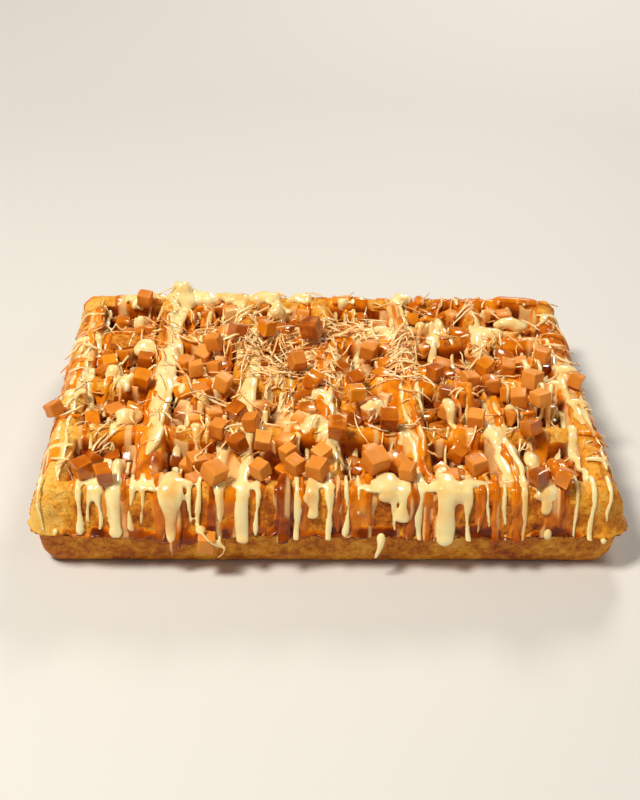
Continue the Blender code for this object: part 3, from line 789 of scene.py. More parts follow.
def stripe(place, width, end, x, z):
    # a stripe down the wall, wandering a little, rounded at its lower end
    sway = 0.5 * np.sin(z * 0.55 + place * 2.1)
    sway = sway + 0.3 * latticeNoise(z, z * 0 + place, 3.0, int(abs(place) * 10) + 1)
    beside = 1 - easeStep(np.abs(x - place - sway), width * 0.32, width * 0.56)
    return beside * easeStep(z, end - 0.6, end + 1.2)


# on the top, down to a ragged line, more of it in the pockets
edgeOfTop = 0.36 + 0.25 * latticeNoise(along, along * 0, 3.2, 97) + 0.2 * latticeNoise(along, along * 0, 9.0, 98)
onTop = 1 - easeStep(q, edgeOfTop - 0.14, edgeOfTop + 0.14)
inPocket = easeStep(pocketDepthAt(px, py), 1.0, 4.0) * (q <= 0)
blotch = layeredNoise(px * 0.9, py * 0.5, 9.5, 101)
film = easeStep(blotch + 0.55 * inPocket + caramel["cover"], -0.05, 0.25) * onTop
film = film * (0.75 + 0.25 * layeredNoise(px, py, 5.0, 107))
film *= 1 - 0.8 * easeStep(np.abs(px), 80, 86) * (layeredNoise(px, py, 14.0, 131) > -0.25)
tone = 0.22 + 0.5 * inPocket + 0.4 * layeredNoise(px, py * 0.6, 8.0, 113)
front = py < -halfY + 2
for place, width, end, dark in caramel["film"]:
    mask = stripe(place, width, end, px, pz) * front * easeStep(q, 0.0, 0.2)
    tone = np.where(mask > 0.3, np.maximum(dark + 0.3 * (pz < 17), tone * 0.5 + 0.1), tone)
    film = np.maximum(film, mask)
# short runs down the other three walls
runs = latticeNoise(along, along * 0, 3.6, 133) + 0.5 * latticeNoise(along, along * 0, 1.7, 134)
ends = 27.6 + 2 * latticeNoise(along, along * 0 + 9, 14.0, 135) - 13 * np.clip((runs - 0.25) / 1.1, 0, 1) ** 0.8
sideRuns = easeStep(runs, 0.25, 0.4) * easeStep(pz, ends - 0.5, ends + 0.9) * ~front * easeStep(q, 0, 0.2)
film = np.maximum(film, sideRuns)
tone = np.where((sideRuns > 0.3) & (q > 0.3), 0.3, tone)
# sauce gathered above the seam
gathered = layeredNoise(along, pz * 1.6, 5.5, 138) + 0.5 * latticeNoise(along, along * 0, 12.0, 139)
gathered = gathered + (17.4 - pz) * 0.3
seamPool = easeStep(gathered, 0.25, 0.6) * (q > 0.3) * (q < 0.97) * (1 - easeStep(np.abs(px), 72, 84)) * (pz < 22)
film = np.maximum(film, seamPool)
tone = tone + (0.5 + 0.22 * np.clip((17.5 - pz) / 3, 0, 1) - tone) * easeStep(seamPool, 0.1, 0.9)
rim = 0.35 * latticeNoise(px, pz, 2.6, 171)
for place, reach in caramel["pools"]:
    across = np.hypot((px - place) / reach, (pz - 15.6) / 2.6)
    puddle = (1 - easeStep(across + rim, 0.7, 1.05)) * front * (q > 0.3)
    film = np.maximum(film, puddle)
    tone = tone + (0.92 - tone) * puddle
thick = caramel["filmDepth"] * np.sqrt(np.clip(film, 0, 1)) - 0.12
skinned = upper + normals * thick[..., None]
keep = (thick > -0.06).ravel()
quads = gridFaces(nx, ny)
quads = quads[keep[quads].any(1)]
used, inverse = np.unique(quads, return_inverse=True)
filmObj = meshObject("caramelFilm", skinned.reshape(-1, 3)[used], inverse.reshape(-1, 4))
streaks = latticeNoise(px, py * 0.16, 2.6, 151) + 0.5 * latticeNoise(px, py * 0.4, 5.0, 157)
wallStreaks = latticeNoise(along, pz * 0.12, 1.5, 158) + 0.3 * latticeNoise(along, pz * 0.5, 4.0, 159)
creamy = np.where(q > 0.1, caramel["wallStreaks"] * easeStep(wallStreaks, 0.42, 0.6),
                  caramel["topStreaks"] * easeStep(streaks, 0.3, 0.55))
paint(filmObj, "depth", tone.ravel()[used])
paint(filmObj, "cream", creamy.ravel()[used])
addPiece(filmObj, caramelMat)
print("caramel film made", len(used))


# sauce in the pockets: lines and half size of each sheet, lift over its level, ripples and climb at the walls, share
# of cream streaks, and depth of colour, dark partly as deep sauce and partly as painted shade
pool = {"steps": 30, "half": 12.0, "lift": 0.35, "ripple": 1.2, "climb": 1.3, "streaks": 0.85, "depth": 0.86}


def poolSheet(i, j):
    # a level sheet that climbs the pocket's walls a little, with slow ripples
    cx, cy = pocketCentre(i, j)
    a = np.linspace(-pool["half"], pool["half"], pool["steps"])
    gx, gy = np.meshgrid(cx + a, cy + a)
    climb = pool["climb"] * (easeStep(np.abs(gx - cx), 6.5, 10.5) + easeStep(np.abs(gy - cy), 6.5, 10.5))
    gz = poolHeight(gx, gy) + pool["lift"] + pool["ripple"] * layeredNoise(gx, gy, 6.0, 201) + climb
    return np.stack([gx, gy, gz], -1).reshape(-1, 3)


sheets = [poolSheet(i, j) for j in range(waffle["rows"]) for i in range(waffle["columns"])]
poolVerts = np.concatenate(sheets)
poolQuads = np.concatenate([gridFaces(pool["steps"], pool["steps"]) + pool["steps"] ** 2 * k
                            for k in range(len(sheets))])
pools = meshObject("pocketPools", poolVerts, poolQuads)
wander = 3 * latticeNoise(poolVerts[:, 0], poolVerts[:, 1], 7.0, 211)
marble = layeredNoise(poolVerts[:, 0] + wander, poolVerts[:, 1] * 0.55, 7.0, 213)
# the pools' dark colour is partly deep sauce, partly painted shade in the pockets
paint(pools, "depth", pool["depth"] + 0.3 * layeredNoise(poolVerts[:, 0], poolVerts[:, 1], 10.0, 217))
paint(pools, "cream", pool["streaks"] * easeStep(marble, 0.33, 0.42))
addPiece(pools, caramelMat)
print("pools made")


sauceSeed = 7
sauceDraw = np.random.default_rng(sauceSeed)  # one row of draws for both sauces, in the order of the code
sides = {"front": (0, -1), "back": (0, 1), "left": (-1, 0), "right": (1, 0)}


def wallOut(z, half, wall):
    # distance of the outer wall from the centre line at a height
    return half + np.interp(-np.asarray(z), -wallTable[1], wallTable[0]) * wall


def wallRun(side, place, top, middle, end, low):
    # from behind the crest, over it and down the wall, ending in a rounded bead
    ox, oy = sides[side]
    half, wall = (halfX, wallX) if ox else (halfY, wallY)
    heights = np.linspace(waffle["crown"], max(low, waffle["seamTop"]), 22)
    back = np.linspace(-4.5, 0, 6)[:-1]
    far = np.concatenate([half + back, wallOut(heights, half, wall)])
    zs = np.concatenate([np.full(5, 29.9), heights])
    if low < waffle["seamTop"]:
        zs, far = np.append(zs, np.linspace(14.2, low, 5)), np.append(far, np.full(5, half + wall * 0.97))
    t = np.linspace(0, 1, len(zs))
    sway = sauceDraw.uniform(-1, 1) * 0.9 * np.sin(t * sauceDraw.uniform(3, 6) + sauceDraw.uniform(0, 6))
    sway = sway * easeStep(t, 0.1, 0.5)
    ripple = 1 + 0.14 * np.sin(t * sauceDraw.uniform(8, 15) + sauceDraw.uniform(0, 6))
    wide = ripple * np.interp(t, [0, 0.25, 0.55, 0.8, 0.93, 1.0],
                              [top * 0.7, top, middle, (middle + end) / 2, end, end * 0.55])
    far = far + 0.12 * wide + 0.15
    path = np.stack([ox * far + abs(oy) * (place + sway), oy * far + abs(ox) * (place + sway),
                     zs + 0.1 * wide * (t < 0.35)], -1)
    return sweepTube(path, wide, np.minimum(wide * 0.62, 1.3 + 0.22 * wide), 12, np.array([abs(oy), abs(ox), 0.0]))


def drape(x, y, reach):
    # height of a stream: the level under it, averaged so that it bridges narrow gaps
    z = sauceLevel[cellOf(x, y)]
    kernel = np.hanning(reach * 2 + 3)[1:-1]
    smooth = np.convolve(np.pad(z, reach, mode="edge"), kernel / kernel.sum(), "valid")
    return np.maximum(smooth, z - 0.5)


def topStream(ends, width, wander=1.1, reach=3, share=0.75):
    # a wandering ribbon of sauce between two places, thicker and thinner as it goes
    (x0, y0), (x1, y1) = ends
    n = max(8, int(math.hypot(x1 - x0, y1 - y0) / 0.9))
    t = np.linspace(0, 1, n)
    seed = int(abs(x0 * 13 + y0 * 7 + width * 29)) + 1
    run = t * n * 0.9
    x = x0 + (x1 - x0) * t + wander * latticeNoise(run, run * 0 + seed, 9.0, seed)
    x = x + 0.5 * wander * latticeNoise(run, run * 0, 3.5, seed + 1)
    y = y0 + (y1 - y0) * t + 0.6 * wander * latticeNoise(run, run * 0 + 5, 7.0, seed + 3)
    z = drape(x, y, reach)
    swell = 1 + 0.5 * latticeNoise(run, run * 0 + 2.0, 4.5, seed + 2)
    wide = width * swell * np.minimum(1, 0.22 + np.minimum(np.arange(n), np.arange(n)[::-1]) / 7)
    path = np.stack([x, y, z + 0.1 * wide], -1)
    across = np.array([y0 - y1, x1 - x0, 0.0])
    return sweepTube(path, wide, np.minimum(share * wide, 2.6), 10, across / np.linalg.norm(across))


caramelPour = {
    "voxel": 0.55, "smoothing": 3, "randomStreams": 90,
    # the bead that hangs at the front seam: centre and half sizes
    "bead": ((-12.6, -62.4, 14.6), (2.4, 1.4, 2.2)),
    # down a wall: place, width at the crest, width lower down, width of the end, height of the end
    "front": [
        (-52.4, 5, 3.6, 2.6, 13), (-63.6, 2.4, 1.6, 1.4, 16), (-49, 3, 2.2, 2.4, 8), (-46.6, 2.2, 1.8, 1.6, 9.4),
        (-14.6, 4.4, 4.6, 3.6, 13), (-9, 2, 1.4, 1, 15), (2.2, 2.2, 1.8, 1.6, 15.6), (11.6, 3.4, 2.4, 1.6, 18),
        (24.8, 4.4, 3, 2.4, 14.4), (29.8, 2.6, 2.4, 2.2, 13), (32, 1.6, 1.4, 1.2, 13.4),
        (46.4, 2.6, 2, 1.6, 15.4), (50.9, 3, 2.4, 3.4, 12.6), (57.4, 2.6, 1.8, 3, 13),
        (70.8, 3.6, 2.6, 1.8, 17.4), (-36.6, 2, 1.6, 1.4, 17),
    ],
    "back": [(-62, 3, 2.4, 2.4, 15), (38, 4, 3.2, 2.8, 13.4), (5, 3, 2.2, 2, 19), (68, 2.6, 2, 1.8, 17)],
    "left": [(-22, 2.4, 1.8, 1.6, 18), (12, 3, 2.2, 2.2, 16)],
    "right": [(31, 3.4, 2.6, 2.4, 14.6), (-30, 3.2, 2.4, 2.2, 15.4)],
    # from place to place along the top, and width
    "streams": [
        ((-63, -57), (-58, 10), 2.6), ((-52.6, -57), (-49, -40), 4.6), ((-36, -57), (-34, 30), 2.2),
        ((-14, -57), (-13, -30), 4.4), ((-2, -30), (0, 40), 3.6), ((7, -20), (6, 36), 4.4),
        ((24.6, -58), (23, 6), 4.4), ((30, -58), (28, 30), 2.6), ((29, 0), (27, 56), 4.4),
        ((46, -57), (42, 10), 2.4), ((51, -57), (46, -6), 3.4), ((57.5, -57), (53, 30), 2.8),
        ((70.5, -57), (66, 10), 3), ((-83, 20), (-82, 52), 3.2), ((-80, -10), (-79, 20), 2.2),
        ((64, 57), (86, 55), 3.2), ((13, 38), (26, 44), 6), ((35, 48), (58, 50), 3.6), ((80, 20), (82, 56), 2.4),
        ((-24, 0), (-22, 50), 3),
    ],
}
caramelShapes = [wallRun(side, *run) for side in sides for run in caramelPour[side]]
caramelShapes += [topStream(s[:2], s[2]) for s in caramelPour["streams"]]
caramelShapes.append(ballSurface(*caramelPour["bead"]))
for _ in range(caramelPour["randomStreams"]):
    x, y, length = sauceDraw.uniform(-80, 80), sauceDraw.uniform(-57, 46), sauceDraw.uniform(10, 36)
    end = (x + sauceDraw.normal(0, 1.6), min(y + length, 56))
    caramelShapes.append(topStream(((x, y), end), sauceDraw.uniform(1.0, 2.8)))
caramelObj = flowTogether("caramelSauce", caramelShapes, caramelPour["voxel"], caramelPour["smoothing"])
points = vertexPlaces(caramelObj)
low = 1 - easeStep(points[:, 2], 14.5, 18)
depth = 0.26 + 0.3 * layeredNoise(points[:, 0], points[:, 1] * 0.4 + points[:, 2] * 0.3, 6.0, 401)
for place, width, end, dark in caramel["film"]:
    near = 1 - easeStep(np.abs(points[:, 0] - place), width * 0.5, width * 0.8)
    near = near * easeStep(-points[:, 1], halfY - 4, halfY + 1)
    depth = depth + (dark + 0.1 - depth) * near * 0.8
paint(caramelObj, "depth", np.minimum(depth + 0.3 * low, 0.72))
streaks = latticeNoise(points[:, 0], points[:, 1] * 0.1 + points[:, 2] * 0.1, 1.3, 405)
paint(caramelObj, "cream", 0.7 * easeStep(streaks, 0.45, 0.65))
addPiece(caramelObj, caramelMat)
print("caramel sauce made", len(caramelObj.data.polygons))

cream = {
    "voxel": 0.5, "smoothing": 4, "share": 0.42,
    # down a wall: place, width at the crest, width lower down, width of the end, height of the end
    "front": [
        (-88.9, 1.4, 1.2, 1.2, 16), (-77.1, 2.2, 1.8, 2.8, 15), (-73.8, 1.9, 1.5, 1.6, 18.8),
        (-71.2, 2.8, 1.6, 1.4, 15.2), (-66.1, 4.6, 3.2, 4.8, 14.6), (-61, 2, 1.3, 2.8, 16),
        (-57.9, 2.4, 1.6, 1.3, 18), (-49.1, 7.6, 5, 1.6, 11.6), (-43.4, 1.8, 1.5, 1.3, 18.5),
        (-40.6, 2.3, 1.9, 1.7, 16), (-34.4, 4, 2.4, 1.6, 15), (-27.1, 4.6, 4, 5, 14), (-22.6, 2, 1.5, 2.1, 14.8),
        (-10.6, 2.4, 2.6, 1.8, 14.2), (-5.9, 4, 3.6, 3.2, 20.6), (-0.7, 3, 2, 2.8, 14.2),
        (4.6, 1.8, 1.3, 2.8, 14.6), (8.4, 1.7, 1.2, 1, 21), (17.2, 7.4, 3.8, 1.1, 25.6),
        (19.6, 2.2, 1.7, 1.1, 15.5), (22.8, 4.4, 3, 4.8, 19.6), (27.6, 3, 2.6, 1.8, 14.2),
        (35.4, 6.8, 6.2, 4.8, 12.4), (42.6, 3.2, 1.7, 2, 14), (48.4, 1.6, 1.4, 1.3, 14.6),
        (53.6, 1.8, 1.5, 1.3, 14), (59.6, 2.8, 1.8, 1.5, 13.8), (66.5, 4, 3.4, 3.2, 22),
        (69.6, 1.7, 1.5, 1.2, 24), (76, 1.9, 1.4, 1.6, 14.6), (81.2, 2.3, 1.7, 2, 14.4), (86.2, 2, 1.5, 1.3, 19),
    ],
    "back": [
        (-52, 6, 4.2, 3.4, 17), (-35, 5, 3.6, 3.2, 12.6), (-20, 3, 2, 2.2, 16), (-6, 3.6, 2.2, 2.8, 18),
        (12, 2.4, 1.6, 1.8, 15), (30, 4.4, 2.6, 3, 19), (52, 2.6, 1.6, 2, 15), (-74, 2.2, 1.5, 1.8, 17),
        (78, 2, 1.4, 1.8, 20),
    ],
    "left": [
        (-38, 2.4, 1.8, 1.8, 16.4), (-8, 3.4, 2.2, 2.4, 15), (26, 2.6, 1.8, 2, 17), (44, 1.8, 1.4, 1.4, 21),
    ],
    "right": [(-44, 2.2, 1.5, 1.6, 17), (-12, 3, 2, 2.4, 16), (8, 5, 3, 2.4, 19), (46, 2, 1.5, 1.6, 20)],
    # along the top: place at the front, place at the back, width, y of the start, y of the end
    "streams": [
        (-77, -72, 2, -58, 20), (-71.2, -66, 2.4, -58, -20), (-66.1, -58, 3.2, -58, -34), (-61, -55, 2, -40, 58),
        (-57.5, -52, 4.6, -44, 58), (-49.1, -50.5, 3.4, -56, -28), (-48, -44, 2.2, -30, 58),
        (-43.5, -42, 2.8, -44, 20), (-40, -36, 2.2, -10, 58), (-34.4, -33, 3.4, -56, -8), (-32, -30, 2.6, 12, 58),
        (-27.1, -23, 4.2, -57, 40), (-22.6, -19, 2, -57, -12), (-15, -16, 3, -12, 58),
        (-10.6, -11, 2.2, -57, -20), (-8, -4, 3.8, -34, 34), (-0.7, 1, 2.6, -57, 0), (3, 5, 2, 8, 58),
        (8.4, 9, 3, -57, -30), (12, 12, 2.4, 14, 57), (17.2, 16, 4, -57, -46), (19.6, 20, 2, -30, 44),
        (22.8, 24, 3, -57, -10), (27.4, 25.4, 2, -58, 57), (33, 31, 2, -20, 57), (35.4, 34, 4.6, -57, -44),
        (42.6, 40, 2.4, -57, -20), (41, 39, 3, -28, 30), (48, 46, 1.8, -57, 57), (55, 51, 4.2, -57, -4),
        (59, 55, 2.8, -57, 40), (66.5, 62, 4, -57, -30), (72, 68, 2.4, -44, 20), (76, 72, 2, -58, 56),
        (81.2, 78.5, 3.2, -57, 30), (84, 82, 2.6, -26, 30), (88, 86, 1.8, -50, 20), (-85, -83, 2, -56, 40),
        (-88, -86, 1.6, -40, 30), (-82, -80, 2.4, -20, 56),
    ],
    # thick heaps: centre and half sizes
    "heaps": [
        (-53, 57.5, 31.6, 5.6, 4.2, 5.4), (-53.6, 56, 30.6, 8, 4.4, 3), (-46, 57, 30, 5, 3.6, 2.6),
        (-37, 57, 29.8, 8, 3.4, 2), (-30, 56, 29.4, 4, 4, 2.2), (-20, 57, 29.8, 6.6, 3.6, 2.6),
        (-17, 50, 29.4, 3, 5, 2.6), (-8, 57, 29.4, 5.5, 3, 2), (30.5, 56.5, 29.8, 4.4, 3.2, 2.4),
        (12, 57, 29.4, 6, 2.6, 1.4), (8, 54, 30, 2.6, 2.4, 2.2), (-70, 55, 29.6, 3, 4, 1.8),
        (-62, 56, 29.6, 3.4, 3, 1.8), (-67, 36.6, 31, 2.8, 2.8, 3), (-63.8, 22, 30.4, 5, 4, 2.4),
        (-73.8, 6.1, 30, 3.4, 3.4, 2), (-68.3, -0.8, 30, 2.2, 3.6, 2), (-66.5, -21, 30.4, 5.4, 3, 2.2),
        (-47, -57, 29.6, 5, 3, 1.6), (-66.3, -50, 30.5, 2.6, 5, 2.8), (-49, -6, 30, 2.4, 4.6, 2.2),
        (-57, 4, 30.4, 3.2, 8, 2), (-55, 18, 30.2, 4, 5, 2), (-3, -8, 30, 3.4, 3, 2.4),
        (0.5, -31, 30.6, 3, 3, 2.6), (-4, -25, 31, 4.4, 3, 2.6), (15, -57, 29.8, 5, 2.6, 1.6),
        (36, -57, 30, 5.4, 2.8, 1.8), (43, -56.5, 29.8, 4.6, 2.4, 1.5), (66.5, -57.5, 29.6, 4, 2.4, 1.4),
        (82.6, -3, 30, 1.6, 5, 0.8), (85, -21, 29.9, 2.4, 6, 0.8), (16.5, -21.4, 34.6, 3.2, 2.8, 2.6),
        (-27, -26, 30.4, 3.2, 3.4, 2.4), (62, 32, 30.4, 7, 4, 2.2), (70, 40, 30.4, 6.6, 3.4, 2),
        (36, 34, 31, 3.2, 3.4, 3), (32, 31, 31, 2.6, 2.4, 3), (40, 34, 31, 2.2, 2, 3.4),
        (21, 33, 30.4, 5, 3, 2.2), (50, -22, 30.4, 3.2, 3.6, 2), (43, 36, 31, 2.6, 7, 2.2),
        (54, -33, 30.6, 3, 6.6, 1.9), (64, -44, 30, 3.2, 6, 1.8), (84, 44, 29.9, 1.7, 4, 0.9),
    ],
    # strings that hang at the front, as the places they pass, and their width at the start
    "hanging": [
        ([(-36, -66.6, 15.6), (-34.6, -67.2, 13.4), (-32.8, -67.4, 12.8), (-31.2, -67, 14.8)], 1.3),
        ([(-40.4, -65.2, 18.2), (-39, -66.8, 17.4), (-37.6, -67.9, 16.3), (-36.2, -68.1, 14.9),
          (-34.8, -67.9, 13.5)], 1.7),
        ([(-32.6, -67.3, 12.8), (-33.2, -67.4, 10.6), (-34.4, -67.4, 9.2), (-36.4, -67.4, 8.2)], 1.1),
        ([(-34.2, -65.4, 16.4), (-34, -66.8, 14.6), (-33, -67.2, 13.2)], 1.6),
        ([(15.8, -65.4, 15), (15.4, -66.2, 11.8), (14.6, -66.4, 9.6), (13.9, -66.4, 7.6)], 2.6),
    ],
    # single drops on the wall: x, height, width, length
    "drops": [
        (38.8, 27.4, 10.6, 5.6), (35.6, 26, 6.4, 6.6), (-49.1, 27.2, 8.4, 6.6), (17.2, 27.4, 6.4, 4.2),
        (66, 27.8, 8, 3.4), (-6.2, 27, 5.4, 6), (-66.1, 28, 5, 3.6), (-27.1, 28, 5, 3.6), (15.6, 14.4, 3.2, 4.6),
        (67.6, 15.6, 2.8, 4.4), (85.2, 13.8, 2.2, 2.2), (-84.5, 16.2, 1.8, 2),
    ],
    "web": ((-40.0, -64.8, 17.6), (1.8, 1.0, 2.0)),  # over the hanging cube: centre and half sizes
    "randomStreams": 122, "randomBlobs": 18, "strings": 150, "stringPoints": 9,
}
creamShapes = [wallRun(side, *run) for side in sides for run in cream[side]]
crest = sorted(cream["front"])
for one, two in zip(crest[:-1], crest[1:]):  # curtains between neighbours under the crest
    gap = two[0] - one[0]
    if gap < 3.7 and sauceDraw.random() < 0.5:
        wide = 0.5 * gap + 0.25 * (one[1] + two[1])
        centre = ((one[0] + two[0]) / 2, -halfY + sauceDraw.uniform(-0.9, 2.0), waffle["crown"])
        creamShapes.append(ballSurface(centre, (wide, 1.7, 0.6)))
for run in crest:
    if run[1] > 2.6:
        for shift in sauceDraw.uniform(-0.5, 0.5, 3):
            centre = (run[0] + shift * run[1] * 1.5, -halfY - 0.6 + sauceDraw.uniform(-0.8, 1.2), 29.7)
            creamShapes.append(ballSurface(centre, (run[1] * 0.45, run[1] * 0.4, 0.9)))
for near, far, width, start, stop in cream["streams"]:
    slope = (far - near) / (2 * halfY)
    ends = ((near + slope * (start + halfY), start), (near + slope * (stop + halfY), stop))
    creamShapes.append(topStream(ends, width))
    for _ in range(0 if abs(near) > 80 else int(abs(stop - start) / 22) + 1):
        share = sauceDraw.uniform(0.05, 0.9)
        y = start + (stop - start) * share
        x = near + slope * (y + halfY)
        lean = sauceDraw.uniform(-1, 1)
        ends = ((x, y), (x + 3.6 * lean, y - sauceDraw.uniform(4, 11)))
        creamShapes.append(topStream(ends, sauceDraw.uniform(0.9, 1.9), 0.9, 1))
for x, y, z, a, b, c in cream["heaps"]:
    level = float(np.mean(sauceLevel[cellOf(np.array([x - 1, x, x + 1]), np.array([y, y, y]))]))
    height = max(z - 0.4, level + 0.2) if c > 1.5 else z
    creamShapes.append(ballSurface((x, y, height), (a * 0.72, b * 0.72, c)))
    for _ in range(6):
        dx, dy = sauceDraw.uniform(-0.75, 0.75) * a, sauceDraw.uniform(-0.75, 0.75) * b
        part = sauceDraw.uniform(0.3, 0.6)
        here = float(sauceLevel[cellOf(x + dx, y + dy)])
        centre = (x + dx, y + dy, 0.5 * height + 0.5 * max(here, height - 2.5))
        creamShapes.append(ballSurface(centre, (a * part, b * part, c * (0.4 + part))))
    if c > 1.9:
        for shift in sauceDraw.uniform(-0.7, 0.7, 2):
            ends = ((x + shift * a, y), (x + shift * a * 1.3, y - b - sauceDraw.uniform(3, 9)))
            creamShapes.append(topStream(ends, sauceDraw.uniform(1.2, 2.6), 0.7, 1))
for points, width in cream["hanging"]:
    knots = np.array(points, float)
    t = np.linspace(0, len(knots) - 1, 18)
    path = np.stack([np.interp(t, np.arange(len(knots)), knots[:, k]) for k in range(3)], 1)
    path[1:-1] = (path[:-2] + path[1:-1] * 2 + path[2:]) / 4
    wide = width * np.linspace(1, 0.42, len(path))
    across = np.array([1.0, 0.0, 0.0]) if width > 2 else np.array([0.0, 1.0, 0.0])
    creamShapes.append(sweepTube(path, wide, wide * 0.8, 10, across))
creamShapes.append(ballSurface(*cream["web"]))
for x, z, width, length in cream["drops"]:
    centre = (x, -float(wallOut(max(z, waffle["seamTop"]), halfY, wallY)) - 0.5, z)
    creamShapes.append(ballSurface(centre, (width / 2, 1.2, length / 2)))
for _ in range(cream["randomStreams"]):
    x, y, length = sauceDraw.uniform(-80, 80), sauceDraw.uniform(-56, 46), sauceDraw.uniform(9, 38)
    stop = min(y + length, 56)
    ends = ((x, y), (x - 0.04 * x * (stop - y) / 30 + sauceDraw.normal(0, 1.2), stop))
    creamShapes.append(topStream(ends, sauceDraw.uniform(0.8, 2.0), 1.0, 1))
for _ in range(cream["randomBlobs"]):
    x, y = sauceDraw.uniform(-82, 82), sauceDraw.uniform(-50, 56)
    for half in sauceDraw.uniform(0.8, 1.9, 3):
        dropX, dropY = x + sauceDraw.normal(0, 1.3), y + sauceDraw.normal(0, 2.0)
        centre = (dropX, dropY, float(sauceLevel[cellOf(dropX, dropY)]))
        creamShapes.append(ballSurface(centre, (half, half * sauceDraw.uniform(0.8, 1.6), half * 0.55)))
creamObj = flowTogether("creamSauce", creamShapes, cream["voxel"], cream["smoothing"], cream["share"])
points = vertexPlaces(creamObj)
thin = latticeNoise(points[:, 0], points[:, 1] * 0.2 + points[:, 2] * 0.2, 3.0, 441)
paint(creamObj, "tan", easeStep(thin, 0.2, 0.7))
addPiece(creamObj, creamMat)
print("cream sauce made", len(creamObj.data.polygons))

# fine strings of cream between the pieces
strings = []
for _ in range(cream["strings"]):
    x, y = sauceDraw.uniform(-84, 84), sauceDraw.uniform(-56, 56)
    turn, length = sauceDraw.normal(1.57, 0.7), sauceDraw.uniform(4, 14)
    t = np.linspace(0, 1, cream["stringPoints"])
    sx, sy = x + length * math.cos(turn) * t, y + length * math.sin(turn) * t
    sx = sx + sauceDraw.uniform(-1.5, 1.5) * np.sin(t * 3.1)
    z = sauceLevel[cellOf(sx, sy)]
    z = np.maximum(z[0] + (z[-1] - z[0]) * t - 1.2 * np.sin(t * math.pi), z - 0.2) + 0.3
    wide = sauceDraw.uniform(0.45, 1.0) * (1 + 0.5 * (2 * t - 1) ** 4)
    across = np.array([-math.sin(turn), math.cos(turn), 0])
    strings.append(sweepTube(np.stack([sx, sy, z], -1), wide, wide * 0.8, 6, across))
verts, faces = joinShapes(strings)
stringObj = meshObject("creamStrings", verts, faces[:, ::-1])
paint(stringObj, "tan", np.full(len(verts), 0.5))
addPiece(stringObj, creamMat)
print("cream strings made", len(strings))


coconut = {
    "seed": 3, "wide": 0.68, "sink": 3.4, "highest": 36.8,
    "taper": [0.3, 0.75, 0.95, 1, 1, 1, 0.95, 0.7, 0.25],  # share of the width at the nine points of a shred
    # centre, spread, number, how high they heap
    "patches": [
        (-16, 18, 20, 11, 250, 1.8), (-6, 2, 20, 10, 120, 1.5), (8, 34, 12, 10, 90, 1.5),
        (27, 14, 6, 14, 130, 1.5), (-40, -14, 14, 10, 40, 1), (-34, 42, 18, 10, 60, 1.2),
        (-60, 26, 18, 20, 60, 1), (-70, -20, 14, 22, 34, 0.8), (62, 26, 18, 20, 70, 1), (46, 0, 16, 16, 60, 1),
        (0, -30, 60, 16, 70, 0.8), (50, 50, 22, 8, 26, 1), (-85, 0, 6, 40, 10, 0.4), (86, 10, 5, 36, 22, 0.4),
        (0, 56, 60, 5, 16, 0.8),
    ],
}
shredLevel = soften(liftTo(sauceLevel, points), 1)
shredDraw = np.random.default_rng(coconut["seed"])
patches = coconut["patches"]
count = sum(p[4] for p in patches)
cx = np.concatenate([shredDraw.normal(p[0], p[2] * 0.6, p[4]) for p in patches])
cy = np.concatenate([shredDraw.normal(p[1], p[3] * 0.6, p[4]) for p in patches])
lift = np.concatenate([p[5] * shredDraw.random(p[4]) ** 1.3 for p in patches])
cx, cy = np.clip(cx, -89, 89), np.clip(cy, -57, 60)
length = shredDraw.uniform(3, 7, count) + 8 * shredDraw.random(count) ** 3
turn = shredDraw.uniform(0, math.pi, count)
bend = shredDraw.normal(0, 0.34, count) * length
wide = coconut["wide"] * shredDraw.uniform(0.6, 1.3, count)
rings = len(coconut["taper"])
t = np.linspace(-0.5, 0.5, rings)[None]
sx = cx[:, None] + t * (length * np.cos(turn))[:, None] - ((t * t - 0.08) * (bend * np.sin(turn))[:, None])
sy = cy[:, None] + t * (length * np.sin(turn))[:, None] + ((t * t - 0.08) * (bend * np.cos(turn))[:, None])
sx, sy = sx + shredDraw.normal(0, 0.08, sx.shape), sy + shredDraw.normal(0, 0.08, sy.shape)
rest = shredLevel[cellOf(sx, sy)]
slope = np.clip((rest * t).sum(1) / (t * t).sum() / length, -0.5, 0.5) + shredDraw.normal(0, 0.1, count)
line = (slope * length)[:, None] * t
level = np.quantile(rest - line, 0.75, axis=1)[:, None]
sunk = easeStep(np.median(rest - sauceLevel[cellOf(sx, sy)], axis=1), 1.7, 2.5)[:, None]
level = level - coconut["sink"] * sunk  # those on thick cream sink into it
arch = shredDraw.uniform(-0.1, 0.3, count) * length
sz = level + line + lift[:, None] + 0.3 + (0.25 - t * t) * arch[:, None] + shredDraw.normal(0, 0.08, sx.shape)
sz = np.minimum(sz, coconut["highest"])
path = np.stack([sx, sy, sz], -1)
ahead = np.gradient(path, axis=1)
ahead /= np.maximum(np.linalg.norm(ahead, axis=-1), 1e-9)[..., None]
side = np.cross(ahead, np.array([0, 0, 1.0]))
side /= np.maximum(np.linalg.norm(side, axis=-1), 1e-9)[..., None]
roll = shredDraw.uniform(-0.9, 0.9, count)[:, None, None]
roll = roll + shredDraw.uniform(-1.2, 1.2, count)[:, None, None] * t[..., None]
rise = np.cross(side, ahead)
first = side * np.cos(roll) + rise * np.sin(roll)
second = -side * np.sin(roll) + rise * np.cos(roll)
taper = np.array(coconut["taper"])[None] * wide[:, None]
corners = [path + first * (a * taper)[..., None] + second * (b * taper)[..., None]
           for a, b in ((-0.5, -0.2), (0.5, -0.2), (0.5, 0.2), (-0.5, 0.2))]
start = np.arange(count)[:, None] * 4 * rings  # the first point of each shred
k = start[..., None] + np.arange(rings - 1)[None, :, None] * 4
one, two = k + np.arange(4), k + (np.arange(4) + 1) % 4
quads = np.stack([one, two, two + 4, one + 4], -1).reshape(-1, 4)
tips = [start + np.array([[3, 2, 1, 0]]), start + 4 * (rings - 1) + np.array([[0, 1, 2, 3]])]
